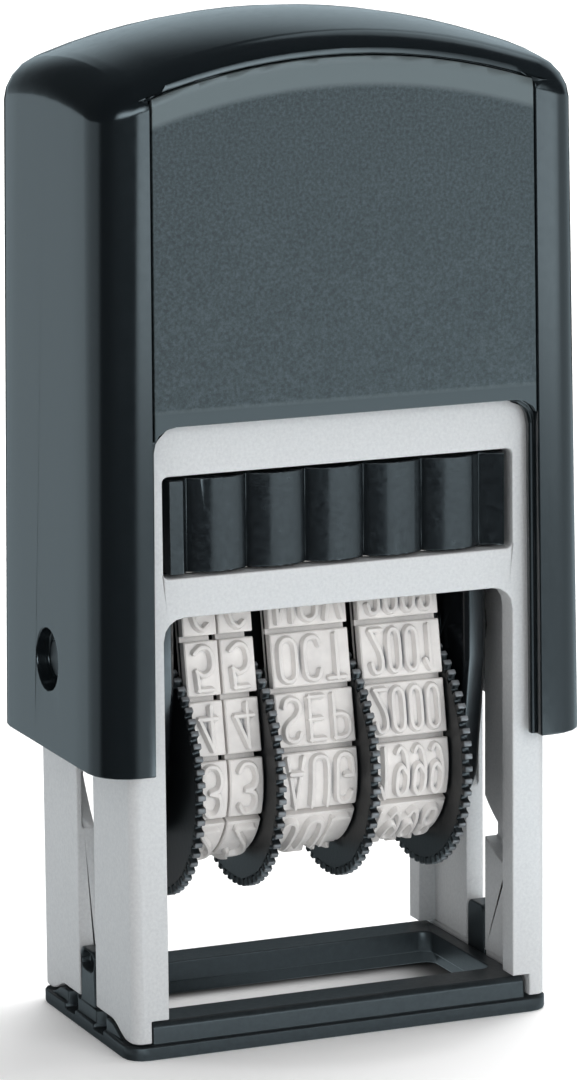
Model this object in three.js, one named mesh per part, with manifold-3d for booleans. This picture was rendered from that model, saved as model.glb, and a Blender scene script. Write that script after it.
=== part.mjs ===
// A self-inking date stamp: a sprung cap is pressed down a silver frame, the carriage inside turns
// half a turn about its pivot pins, and the date bands swing from the ink pad down to the paper.
// Sizes in millimetres. X is the width, -Y the front, +Z up from the desk under the foot.

import * as THREE from 'three';
import { mergeVertices } from 'three/addons/utils/BufferGeometryUtils.js';
import Module from 'manifold-3d';

const wasm = await Module();
wasm.setup();

// Clearances and cutting
const REST_GAP = 0.25; // between pieces that sit on or beside each other
const RUN_GAP = 0.3; // between a moving piece and what it runs past
const PRESS_GAP = 0.15; // round a pin held in its hole
const CUT_OVERRUN = 1; // how far a cutting solid runs past the face it cuts
const ROOT_OVERLAP = 0.2; // how far a moulded boss runs into the wall it grows from

// Date line: the bands and their wheels from left to right
const DAY_BAND_WIDTH = 2.8;
const MONTH_BAND_WIDTH = 6.6;
const YEAR_BAND_WIDTH = 6.85;
const BAND_GAP = 0.2; // from a band or wheel to the next band
const MONTH_GAP = 0.6; // from the day's wheel to the month band
const BAND_WHEEL_GAP = 0.15; // from a band to the rim of its own wheel
const WHEEL_THICKNESS = 0.65;
const DATE_LINE_SHIFT = 0.275; // the line stands this far left of the middle
const CHEEK_CLEARANCE = 0.675;

// Carriage
const PIVOT_Z = 30.2;
const PIVOT_RADIUS = 1.5;
const PRINT_RADIUS = 12.3; // from the pivot to the face of the raised characters
const CHARACTER_HEIGHT = 0.45;
const GUIDE_ARM = 5.5; // from the pivot to the guide pin
const GUIDE_RADIUS = 1;
const ARM_THICKNESS = 1.55;
const ARM_PIVOT_ROUND = 3;
const ARM_GUIDE_ROUND = 1.9;
const CHEEK_THICKNESS = 1.9;
const CHEEK_ROUND = 4.9; // about the axle
const CHEEK_TAPER = 0.2; // turn at which each side meets that round
const CHEEK_BLOCK_HALF = 6.3;
const CHEEK_BLOCK_DROP = 1.7; // bottom of the cheek's square part below the pivot
const CHEEK_TOP_DROP = 5.2; // below the raised characters
const CHEEK_SHOULDER_DROP = 2.1; // below the cheek's top
const CHEEK_TOP_HALF = 4.6;
const CHEEK_EDGE = 0.35;
const BRIDGE_TOP_HALF = 1.5;
const BRIDGE_NOSE_HALF = 2.6;
const BRIDGE_NOSE_DEPTH = 4.4;
const BRIDGE_WEB_HALF = 1.7;
const BRIDGE_DROP = 2;
const BRIDGE_HAUNCH = 1.6;
const TENON_HALF = 1.1;
const TENON_RISE = 2; // bottom of the bridge's tenons over the pivot
const TENON_HEIGHT = 3.4;
const TENON_LENGTH = 1.2;
const CUSHION_THICKNESS = 0.7;
const CUSHION_HALF_DEPTH = 1.5;

// Thumb wheels
const WHEEL_DROP = 9.9; // wheel axle below the pivot
const WHEEL_RADIUS = 9.75;
const WHEEL_TEETH = 60;
const TOOTH_DEPTH = 0.6;
const TOOTH_TIP_SHARE = 0.42; // of the tooth pitch
const TOOTH_ROOT_SHARE = 0.58;
const AXLE_RADIUS = 1.2;
const DRUM_SIDES = 40;

// Date bands
const BAND_ROWS = 14;
const BELT_THICKNESS = 0.7;
const PAD_THICKNESS = 0.9;
const PAD_SPACING = 0.45; // valley between one row's pad and the next
const BAND_NOSE_HALF = 2.6; // half-depth of the belt's top run
const BAND_NOSE_ROUND = 1.2;
const BAND_DRUM_RADIUS = 6.1; // outside of the belt where it goes round the wheel's drum
const DAY_BELT_INSET = 0.35; // the day bands' belt is narrower than their pads on one side
const BAND_TURN_STEPS = 3; // facets in each pad and valley on a bend

// Lower frame
const SIDE_WALL = 1.55;
const FRAME_HALF_DEPTH = 10.03;
const FRAME_CORNER = 0.9;
const PLATE_WALL = 2; // front and back plates
const DECK_THICKNESS = 2;
const FRAME_TOP_EDGE = 0.5;
const TONGUE_WIDTH = 1.5; // outer strip of each leg that reaches down beside the rail
const LEG_WIDTH = 2.95;
const WINDOW_ROUND = 1.7;
const LOWER_BAR = 3.1;
const BAR_RELIEF_HEIGHT = 2.6; // the lower bar is hollowed behind, where the bands swing past
const BAR_RELIEF_DEPTH = 1.42;
const PAD_WINDOW_DROP = 4.7; // bottom of the cartridge's window below the raised characters
const PAD_WINDOW_HEIGHT = 7.9;
const PAD_WINDOW_ROUND = 0.5;
const UPPER_BAR = 4.8;
const TRACK_HALF_WIDTH = 1.3;
const TRACK_DEPTH = 1.1;
const TRACK_STEPS = 20;
const SPRING_BOSS_RADIUS = 3.3;
const SPRING_BOSS_HEIGHT = 2;

// Foot
const FOOT_SIDE_LEDGE = 0.4; // the foot stands this far out beside the frame
const FOOT_FACE_LEDGE = 0.07;
const FOOT_CORNER = 1.7;
const FLANGE_HEIGHT = 1.1;
const RAIL_HEIGHT = 2.85;
const RAIL_FACE_SETBACK = 0.4; // rail's front face behind the flange's edge
const RAIL_FACE_DRAFT = 0.15;
const RAIL_EDGE = 0.35;
const APERTURE_END_LEDGE = 0.05; // the aperture ends this far inside the frame's legs
const APERTURE_HALF_DEPTH = 6.1;
const APERTURE_CORNER = 1;
const UNDERCUT = 0.5; // the aperture is this much wider below the flange's top
const SIDE_RIM_HEIGHT = 2.1;
const SIDE_RIM_SETBACK = 0.3;
const SIDE_RIM_FLAT = 5.1; // half-length of the side rim's level middle
const SIDE_RIM_RAMP = 3.3; // length of the curve that falls to the flange at each end
const LUG_TOP = 6.6;
const LUG_ROUND = 0.7;
const LUG_POCKET_HEIGHT = 1.5;
const LUG_POCKET_DEPTH = 0.8;
const LUG_POCKET_LIP = 0.25;
const NOTCH_START = 2.1;
const NOTCH_LENGTH = 2.1;
const NOTCH_DEPTH = 0.9;
const NOTCH_FLOOR = 0.7;

// Ink cartridge
const TRAY_SIDE_GAP = 0.65; // to the sides of the frame's window
const TRAY_END_SETBACK = 0.13; // front face behind the frame's plate
const TRAY_TOP_GAP = 0.35;
const TRAY_WALL = 0.9;
const TRAY_ROOF = 1.1;
const TRAY_END_WALL = 1.8;
const FLUTE_PITCH = 4.9;
const FLUTE_COUNT = 5;
const FLUTE_DEPTH = 1.05;
const FLUTE_STEPS = 6;
const FLUTE_LAND = 0.1; // flat crest between two flutes
const FELT_GAP = 0.1; // from the raised characters to the ink pad

// Cap
const CAP_SIDE_ROOM = 1.1; // from the frame's side to the cap's side wall at the bottom
const CAP_FACE_ROOM = 0.37;
const CAP_SIDE_WALL = 1.9;
const CAP_FACE_WALL = 1.64;
const CAP_CEILING = 2;
const CAP_PIVOT_DROP = 7.25; // bottom of the cap below the pivot
const CAP_HEADROOM = 29.35; // from the frame's deck to the top of the crown
const CAP_CROWN_RADIUS = 51; // across the width
const CAP_DOME_RADIUS = 53; // from front to back
const CAP_CORNER = 3.3;
const CAP_EDGE = 2.2;
const CAP_INNER_CORNER = 1.4;
const CAP_INNER_EDGE = 0.8;
const CAP_SIDE_DRAFT = THREE.MathUtils.degToRad(0.75);
const CAP_FACE_DRAFT = THREE.MathUtils.degToRad(0.4);
const CAP_INNER_DRAFT = THREE.MathUtils.degToRad(0.2);
const DOOR_SIDE = 1.4; // the door's foot is this much narrower than the frame
const DOOR_LEAN = THREE.MathUtils.degToRad(0.45);
const DOOR_DROP = 0.8; // top of the door below the frame's deck
const DOOR_ROUND = 2;
const REBATE_WIDTH = 0.4;
const REBATE_DEPTH = 1.05;
const PIVOT_BOSS_HALF = 4;
const PIVOT_BOSS_DROP = 5.2;
const PIVOT_BOSS_RISE = 5.8;
const PIVOT_EYE_RADIUS = 2.45;
const PIVOT_EYE_DEPTH = 1.2;
const CAP_POST_RADIUS = 3.2;
const CAP_POST_LENGTH = 5.6;
const CROWN_STEPS = 14;
const DOME_STEPS = 6;
const CORNER_STEPS = 5;
const EDGE_STEPS = 4;

// Label panels
const PANEL_TOP_DROP = 2.65; // top of the panel's arch below the top of the crown
const PANEL_THICKNESS = 0.6;
const PANEL_BACK_GAP = 0.1;
const PANEL_SEAM = 0.12;
const PANEL_ARCH_STEPS = 16;

// Return spring
const SPRING_COIL_RADIUS = 4.6;
const SPRING_WIRE_RADIUS = 0.45;
const SPRING_TURNS = 6;
const SPRING_STEPS_PER_TURN = 8;
const SPRING_WIRE_SIDES = 5;

// Round forms
const ROUND_SIDES = 24;
const FILLET_STEPS = 4;

// Sizes that follow from the ones above
const FULL_TURN = 2 * Math.PI;
const HALF_TURN = Math.PI;
const QUARTER_TURN = Math.PI / 2;
const STROKE = PIVOT_Z - PRINT_RADIUS;
const WHEEL_Z = PIVOT_Z - WHEEL_DROP;
const PRINT_Z = PIVOT_Z + PRINT_RADIUS;
const BELT_TOP = PRINT_Z - CHARACTER_HEIGHT - PAD_THICKNESS;

// Bands from left to right. side says on which side of its band a wheel's rim stands.
const DATE_UNITS = [
  { name: 'day_tens', gap: 0, width: DAY_BAND_WIDTH, side: -1, inset: DAY_BELT_INSET },
  { name: 'day_units', gap: BAND_GAP, width: DAY_BAND_WIDTH, side: 1, inset: DAY_BELT_INSET },
  { name: 'month', gap: MONTH_GAP, width: MONTH_BAND_WIDTH, side: 1, inset: 0 },
  { name: 'year', gap: BAND_GAP, width: YEAR_BAND_WIDTH, side: 1, inset: 0 },
];
const RIM_ROOM = BAND_WHEEL_GAP + WHEEL_THICKNESS;
const DATE_LINE_LENGTH = DATE_UNITS.reduce((length, unit) => length + unit.gap + unit.width + RIM_ROOM, 0);
let lineEnd = -DATE_LINE_LENGTH / 2 - DATE_LINE_SHIFT;
for (const unit of DATE_UNITS) {
  unit.from = lineEnd + unit.gap + (unit.side < 0 ? RIM_ROOM : 0);
  unit.to = unit.from + unit.width;
  lineEnd += unit.gap + unit.width + RIM_ROOM;
}

const CHEEK_INNER = DATE_LINE_LENGTH / 2 + CHEEK_CLEARANCE;
const CHEEK_OUTER = CHEEK_INNER + CHEEK_THICKNESS;
const ARM_OUTER = CHEEK_OUTER + ARM_THICKNESS;
const FRAME_INNER_X = ARM_OUTER + RUN_GAP;
const FRAME_INNER_Y = FRAME_HALF_DEPTH - PLATE_WALL;
const FRAME_HALF_WIDTH = FRAME_INNER_X + SIDE_WALL;
const WINDOW_HALF_WIDTH = FRAME_HALF_WIDTH - LEG_WIDTH;
const LEG_STEP_X = FRAME_HALF_WIDTH - TONGUE_WIDTH;
const PAD_WINDOW_BOTTOM = PRINT_Z - PAD_WINDOW_DROP;
const PAD_WINDOW_TOP = PAD_WINDOW_BOTTOM + PAD_WINDOW_HEIGHT;
const WINDOW_TOP = PAD_WINDOW_BOTTOM - LOWER_BAR;
const FRAME_TOP = PAD_WINDOW_TOP + UPPER_BAR;
const RAIL_SEAT = RAIL_HEIGHT + REST_GAP;
const TONGUE_SEAT = FLANGE_HEIGHT + REST_GAP;
const SLOT_HALF = PIVOT_RADIUS + RUN_GAP;
const SLOT_TOP = PIVOT_Z + SLOT_HALF + REST_GAP;
const FOOT_HALF_WIDTH = FRAME_HALF_WIDTH + FOOT_SIDE_LEDGE;
const FOOT_HALF_DEPTH = FRAME_HALF_DEPTH + FOOT_FACE_LEDGE;
const APERTURE_HALF_WIDTH = WINDOW_HALF_WIDTH - APERTURE_END_LEDGE;
const TRAY_HALF_WIDTH = WINDOW_HALF_WIDTH - TRAY_SIDE_GAP;
const TRAY_FACE = FRAME_HALF_DEPTH - TRAY_END_SETBACK;
const TRAY_CAVITY_HALF_DEPTH = TRAY_FACE - TRAY_END_WALL;
const PIVOT_BOSS_FACE = FRAME_HALF_WIDTH + RUN_GAP;
const CAP_HALF_WIDTH = FRAME_HALF_WIDTH + CAP_SIDE_ROOM + CAP_SIDE_WALL;
const CAP_HALF_DEPTH = FRAME_HALF_DEPTH + CAP_FACE_ROOM + CAP_FACE_WALL;
const CAP_BOTTOM = PIVOT_Z - CAP_PIVOT_DROP;
const CAP_PEAK = FRAME_TOP + CAP_HEADROOM;
const CAP_CEILING_Z = CAP_PEAK - CAP_CEILING;
const DOOR_TOP = FRAME_TOP - DOOR_DROP;

const finishes = {
  glossBlack: { color: 0x14171a, roughness: 0.18, metalness: 0 },
  satinBlack: { color: 0x22272b, roughness: 0.45, metalness: 0 },
  grainedPanel: { color: 0x3b454a, roughness: 0.7, metalness: 0 },
  silver: { color: 0xd0d3d5, roughness: 0.4, metalness: 0.1 },
  wheelBlack: { color: 0x15181b, roughness: 0.5, metalness: 0 },
  ivoryRubber: { color: 0xd9d4cd, roughness: 0.75, metalness: 0 },
  cushionRubber: { color: 0x4a4744, roughness: 0.9, metalness: 0 },
  inkFelt: { color: 0x1a1c2b, roughness: 1, metalness: 0 },
  steel: { color: 0xa9adb0, roughness: 0.3, metalness: 1 },
};

const stamp = new THREE.Group();

// Turn a closed geometry into a solid that can be joined and cut.
function solidOf(geometry) {
  const bare = geometry.clone();
  bare.deleteAttribute('normal');
  bare.deleteAttribute('uv');
  const welded = mergeVertices(bare);
  return new wasm.Manifold(new wasm.Mesh({
    numProp: 3,
    vertProperties: new Float32Array(welded.attributes.position.array),
    triVerts: new Uint32Array(welded.index.array),
  }));
}

function geometryOf(solid) {
  const mesh = solid.getMesh();
  const geometry = new THREE.BufferGeometry();
  geometry.setAttribute('position', new THREE.BufferAttribute(mesh.vertProperties, 3));
  geometry.setIndex(new THREE.BufferAttribute(mesh.triVerts, 1));
  geometry.computeVertexNormals();
  return geometry;
}

function addPiece(name, solid, finish) {
  const geometry = solid.isBufferGeometry ? solid : geometryOf(solid);
  const mesh = new THREE.Mesh(geometry, new THREE.MeshStandardMaterial(finish));
  mesh.name = name;
  stamp.add(mesh);
}

const joined = (...solids) => solids.reduce((whole, next) => whole.add(next));

// Points of a circle's arc, both ends included.
function arc(u, v, radius, start, end, steps) {
  const points = [];
  for (let step = 0; step <= steps; step++) {
    const angle = start + (end - start) * (step / steps);
    points.push(new THREE.Vector2(u + radius * Math.cos(angle), v + radius * Math.sin(angle)));
  }
  return points;
}

const circle = (u, v, radius, sides = ROUND_SIDES) => arc(u, v, radius, 0, FULL_TURN, sides).slice(1);

// Rectangle with its own radius at the lower and the upper corners.
function roundedBox(left, bottom, right, top, lower, upper = lower, steps = FILLET_STEPS) {
  const corner = (u, v, radius, start) => (
    radius > 0 ? arc(u, v, radius, start, start + QUARTER_TURN, steps) : [new THREE.Vector2(u, v)]
  );
  return [
    ...corner(right - lower, bottom + lower, lower, -QUARTER_TURN),
    ...corner(right - upper, top - upper, upper, 0),
    ...corner(left + upper, top - upper, upper, QUARTER_TURN),
    ...corner(left + lower, bottom + lower, lower, HALF_TURN),
  ];
}

const SIDEWAYS = new THREE.Matrix4().set(0, 0, 1, 0, 1, 0, 0, 0, 0, 1, 0, 0, 0, 0, 0, 1);
const FACING_FRONT = new THREE.Matrix4().set(1, 0, 0, 0, 0, 0, -1, 0, 0, 1, 0, 0, 0, 0, 0, 1);

// Extrude an outline, with an optional small bevel at both ends that stays within its size.
function extrude(outline, from, to, bevel, matrix) {
  const geometry = new THREE.ExtrudeGeometry(new THREE.Shape(outline), {
    depth: to - from - 2 * bevel,
    bevelEnabled: bevel > 0,
    bevelThickness: bevel,
    bevelSize: bevel,
    bevelOffset: -bevel,
    bevelSegments: 1,
  });
  geometry.translate(0, 0, from + bevel);
  if (matrix) geometry.applyMatrix4(matrix);
  return solidOf(geometry);
}

const alongZ = (outline, from, to, bevel = 0) => extrude(outline, from, to, bevel, null);
const alongX = (outline, from, to, bevel = 0) => extrude(outline, from, to, bevel, SIDEWAYS);
const alongY = (outline, from, to, bevel = 0) => extrude(outline, -to, -from, bevel, FACING_FRONT);
const alongXBothSides = (outline, from, to) => (
  joined(alongX(outline, from, to), alongX(outline, -to, -from))
);
const sideSpan = (side, near, far) => (side < 0 ? [-far, -near] : [near, far]);

// Height of the curve on which the legs' side edges and the foot's side rim meet, over the flange.
function rimRise(y, height) {
  const past = THREE.MathUtils.clamp((Math.abs(y) - SIDE_RIM_FLAT) / SIDE_RIM_RAMP, 0, 1);
  return height * (1 + Math.cos(HALF_TURN * past)) / 2;
}

// Outline in Y and Z under that curve.
function rimOutline(halfLength, bottom, base, steps = FILLET_STEPS * 2) {
  const rise = SIDE_RIM_HEIGHT - FLANGE_HEIGHT;
  const points = [new THREE.Vector2(-halfLength, bottom), new THREE.Vector2(halfLength, bottom)];
  points.push(new THREE.Vector2(halfLength, base));
  for (const end of [1, -1]) {
    for (let step = 0; step <= steps; step++) {
      const along = end > 0 ? 1 - step / steps : step / steps;
      const y = end * (SIDE_RIM_FLAT + SIDE_RIM_RAMP * along);
      points.push(new THREE.Vector2(y, base + rimRise(y, rise)));
    }
  }
  points.push(new THREE.Vector2(-halfLength, base));
  return points;
}

function makeFoot() {
  const railFace = FOOT_HALF_DEPTH - RAIL_FACE_SETBACK;
  const rimFace = FOOT_HALF_WIDTH - SIDE_RIM_SETBACK;
  const rimInner = LEG_STEP_X - REST_GAP;
  const block = (halfX, halfY, corner, from, to) => (
    alongZ(roundedBox(-halfX, -halfY, halfX, halfY, corner), from, to)
  );
  const railTop = RAIL_HEIGHT - RAIL_EDGE;
  const rail = [
    new THREE.Vector2(-railFace, 0),
    new THREE.Vector2(railFace, 0),
    new THREE.Vector2(railFace - RAIL_FACE_DRAFT, railTop),
    new THREE.Vector2(railFace - RAIL_FACE_DRAFT - RAIL_EDGE, RAIL_HEIGHT),
    new THREE.Vector2(-railFace + RAIL_FACE_DRAFT + RAIL_EDGE, RAIL_HEIGHT),
    new THREE.Vector2(-railFace + RAIL_FACE_DRAFT, railTop),
  ];
  let foot = joined(
    block(FOOT_HALF_WIDTH, FOOT_HALF_DEPTH, FOOT_CORNER, 0, FLANGE_HEIGHT),
    alongX(rail, -rimInner, rimInner),
    alongXBothSides(
      rimOutline(SIDE_RIM_FLAT + SIDE_RIM_RAMP, 0, FLANGE_HEIGHT), rimInner - ROOT_OVERLAP, rimFace,
    ),
  );
  const lugHalf = SLOT_HALF - REST_GAP;
  const lug = roundedBox(-lugHalf, 0, lugHalf, LUG_TOP, 0, LUG_ROUND);
  foot = joined(foot, alongXBothSides(lug, FRAME_INNER_X, FRAME_HALF_WIDTH));
  foot = foot.subtract(block(APERTURE_HALF_WIDTH, APERTURE_HALF_DEPTH, APERTURE_CORNER, -CUT_OVERRUN, LUG_TOP));
  foot = foot.subtract(block(
    APERTURE_HALF_WIDTH + UNDERCUT, APERTURE_HALF_DEPTH + UNDERCUT, APERTURE_CORNER, -CUT_OVERRUN, FLANGE_HEIGHT,
  ));
  const pocketHalf = lugHalf - LUG_POCKET_LIP;
  const pocketTop = LUG_TOP - LUG_POCKET_LIP;
  const pocket = roundedBox(-pocketHalf, pocketTop - LUG_POCKET_HEIGHT, pocketHalf, pocketTop, LUG_ROUND);
  foot = foot.subtract(alongXBothSides(pocket, FRAME_HALF_WIDTH - LUG_POCKET_DEPTH, FRAME_HALF_WIDTH + CUT_OVERRUN));
  for (const end of [1, -1]) {
    const near = end * NOTCH_START;
    const far = end * (NOTCH_START + NOTCH_LENGTH);
    const notch = roundedBox(Math.min(near, far), NOTCH_FLOOR, Math.max(near, far), LUG_TOP, 0);
    foot = foot.subtract(alongXBothSides(notch, rimFace - NOTCH_DEPTH, rimFace + CUT_OVERRUN));
  }
  return foot;
}

// Path of a guide pin in Y and Z while the cap goes down and the carriage turns with it.
function guidePath() {
  const points = [];
  for (let step = 0; step <= TRACK_STEPS; step++) {
    const turn = HALF_TURN * (step / TRACK_STEPS);
    const drop = STROKE * (step / TRACK_STEPS);
    points.push(new THREE.Vector2(
      GUIDE_ARM * Math.cos(turn),
      PIVOT_Z - drop - GUIDE_ARM * Math.sin(turn),
    ));
  }
  return points;
}

// Outline of a track of constant width with round ends along that path.
function trackOutline() {
  const path = guidePath();
  const heading = (index) => {
    const before = path[Math.max(index - 1, 0)];
    const after = path[Math.min(index + 1, path.length - 1)];
    return Math.atan2(after.y - before.y, after.x - before.x);
  };
  const offset = (index, side) => {
    const angle = heading(index) + side * QUARTER_TURN;
    return new THREE.Vector2(
      path[index].x + TRACK_HALF_WIDTH * Math.cos(angle),
      path[index].y + TRACK_HALF_WIDTH * Math.sin(angle),
    );
  };
  const end = (index, start) => arc(
    path[index].x, path[index].y, TRACK_HALF_WIDTH, start, start + HALF_TURN, FILLET_STEPS,
  ).slice(1, -1);
  const last = path.length - 1;
  const right = path.map((point, index) => offset(index, -1));
  const left = path.map((point, index) => offset(index, 1)).reverse();
  return [
    ...right, ...end(last, heading(last) - QUARTER_TURN), ...left, ...end(0, heading(0) + QUARTER_TURN),
  ];
}

function makeFrame() {
  const outer = roundedBox(
    -FRAME_HALF_WIDTH, -FRAME_HALF_DEPTH, FRAME_HALF_WIDTH, FRAME_HALF_DEPTH, FRAME_CORNER,
  );
  const inner = roundedBox(-FRAME_INNER_X, -FRAME_INNER_Y, FRAME_INNER_X, FRAME_INNER_Y, 0);
  const below = -CUT_OVERRUN;
  let frame = joined(
    alongZ(outer, TONGUE_SEAT - ROOT_OVERLAP, FRAME_TOP, FRAME_TOP_EDGE),
    alongZ(outer, TONGUE_SEAT, FRAME_TOP / 2),
    alongZ(circle(0, 0, SPRING_BOSS_RADIUS), FRAME_TOP - ROOT_OVERLAP, FRAME_TOP + SPRING_BOSS_HEIGHT),
  );
  frame = frame.trimByPlane([0, 0, 1], TONGUE_SEAT);
  frame = frame.subtract(alongZ(inner, below, FRAME_TOP - DECK_THICKNESS));
  const window = roundedBox(
    -WINDOW_HALF_WIDTH, below, WINDOW_HALF_WIDTH, WINDOW_TOP, 0, WINDOW_ROUND,
  );
  const padWindow = roundedBox(
    -WINDOW_HALF_WIDTH, PAD_WINDOW_BOTTOM, WINDOW_HALF_WIDTH, PAD_WINDOW_TOP, PAD_WINDOW_ROUND,
  );
  const past = FRAME_HALF_DEPTH + CUT_OVERRUN;
  frame = frame.subtract(alongY(window, -past, past)).subtract(alongY(padWindow, -past, past));
  const railSeat = roundedBox(-LEG_STEP_X, below, LEG_STEP_X, RAIL_SEAT, 0);
  frame = frame.subtract(alongY(railSeat, -past, past));
  const outside = FRAME_HALF_WIDTH + CUT_OVERRUN;
  frame = frame.subtract(alongXBothSides(rimOutline(past, below, TONGUE_SEAT), FRAME_INNER_X - CUT_OVERRUN, outside));
  const slot = roundedBox(-SLOT_HALF, below, SLOT_HALF, SLOT_TOP, 0, SLOT_HALF);
  frame = frame.subtract(alongXBothSides(slot, FRAME_INNER_X - CUT_OVERRUN, outside));
  for (const side of [1, -1]) {
    const relief = [
      new THREE.Vector2(side * (FRAME_INNER_Y - CUT_OVERRUN), WINDOW_TOP - CUT_OVERRUN),
      new THREE.Vector2(side * (FRAME_INNER_Y + BAR_RELIEF_DEPTH), WINDOW_TOP - CUT_OVERRUN),
      new THREE.Vector2(side * (FRAME_INNER_Y + BAR_RELIEF_DEPTH), WINDOW_TOP),
      new THREE.Vector2(side * FRAME_INNER_Y, WINDOW_TOP + BAR_RELIEF_HEIGHT),
      new THREE.Vector2(side * (FRAME_INNER_Y - CUT_OVERRUN), WINDOW_TOP + BAR_RELIEF_HEIGHT),
    ];
    const reach = WINDOW_HALF_WIDTH - WINDOW_ROUND;
    frame = frame.subtract(alongX(side < 0 ? relief.reverse() : relief, -reach, reach));
  }
  const track = alongXBothSides(trackOutline(), FRAME_INNER_X - CUT_OVERRUN, FRAME_INNER_X + TRACK_DEPTH);
  return frame.subtract(track);
}

// The cartridge's front and back ends: a row of hollow finger flutes between straight lands.
function fluteRun(side) {
  const halfRow = FLUTE_PITCH * FLUTE_COUNT / 2;
  const points = [];
  for (let flute = 0; flute < FLUTE_COUNT; flute++) {
    const start = -halfRow + FLUTE_PITCH * flute + FLUTE_LAND;
    const width = FLUTE_PITCH - 2 * FLUTE_LAND;
    for (let step = 0; step <= FLUTE_STEPS; step++) {
      const along = step / FLUTE_STEPS;
      const depth = FLUTE_DEPTH * Math.sin(HALF_TURN * along);
      points.push(new THREE.Vector2(start + width * along, side * (TRAY_FACE - depth)));
    }
  }
  return side < 0 ? points : points.reverse();
}

function makeTray() {
  const end = (side) => [
    new THREE.Vector2(side * TRAY_HALF_WIDTH, -side * TRAY_FACE),
    new THREE.Vector2(side * TRAY_HALF_WIDTH, side * TRAY_FACE),
  ];
  const outline = [...fluteRun(-1), ...end(1), ...fluteRun(1), ...end(-1)];
  const bottom = PAD_WINDOW_BOTTOM + REST_GAP;
  const top = PAD_WINDOW_TOP - TRAY_TOP_GAP;
  const cavity = roundedBox(
    -TRAY_HALF_WIDTH + TRAY_WALL, -TRAY_CAVITY_HALF_DEPTH, TRAY_HALF_WIDTH - TRAY_WALL, TRAY_CAVITY_HALF_DEPTH, 0,
  );
  return alongZ(outline, bottom, top).subtract(alongZ(cavity, bottom - CUT_OVERRUN, top - TRAY_ROOF));
}

function makeFelt() {
  const halfX = TRAY_HALF_WIDTH - TRAY_WALL - REST_GAP;
  const halfY = TRAY_CAVITY_HALF_DEPTH - REST_GAP;
  const top = PAD_WINDOW_TOP - TRAY_TOP_GAP - TRAY_ROOF - REST_GAP;
  return alongZ(roundedBox(-halfX, -halfY, halfX, halfY, 0), PRINT_Z + FELT_GAP, top);
}

// One ring of the cap's body: a rounded rectangle whose points follow a height given in X and Y.
// It runs along the front from left to right, back along the right side, and so on round. The
// walls lean in with height, so each point is set back by the lean at its own height.
function hoodRing(size, inset, shoulder, heightAt) {
  const radius = Math.max(size.corner - inset, REST_GAP);
  const lean = (height, draft) => (height - CAP_BOTTOM) * Math.tan(draft);
  const halfX = size.halfWidth - inset - lean(shoulder, size.sideDraft);
  const halfY = size.halfDepth - inset - lean(shoulder, size.faceDraft);
  const place = (x, y, turnsCorner) => {
    const z = heightAt(x, y);
    const shiftX = turnsCorner ? lean(shoulder, size.sideDraft) - lean(z, size.sideDraft) : 0;
    const shiftY = lean(shoulder, size.faceDraft) - lean(z, size.faceDraft);
    return new THREE.Vector3(x + Math.sign(x) * shiftX, y * (1 + shiftY / halfY), z);
  };
  const corner = (step, side) => {
    const angle = QUARTER_TURN * (step / CORNER_STEPS);
    const x = side * (halfX - radius + radius * Math.cos(angle));
    return place(x, -halfY + radius * (1 - Math.sin(angle)), true);
  };
  const steps = Array.from({ length: CORNER_STEPS + 1 }, (unused, step) => step);
  const front = steps.map((step) => corner(step, -1));
  for (let step = 1; step < CROWN_STEPS; step++) {
    front.push(place((halfX - radius) * (2 * (step / CROWN_STEPS) - 1), -halfY, false));
  }
  front.push(...steps.reverse().map((step) => corner(step, 1)));
  const right = [];
  for (let step = 1; step < DOME_STEPS; step++) {
    right.push(place(halfX, (radius - halfY) * (1 - 2 * (step / DOME_STEPS)), true));
  }
  const turned = (points) => points.map((point) => new THREE.Vector3(-point.x, -point.y, point.z));
  return [...front, ...right, ...turned(front), ...turned(right)];
}

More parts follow.
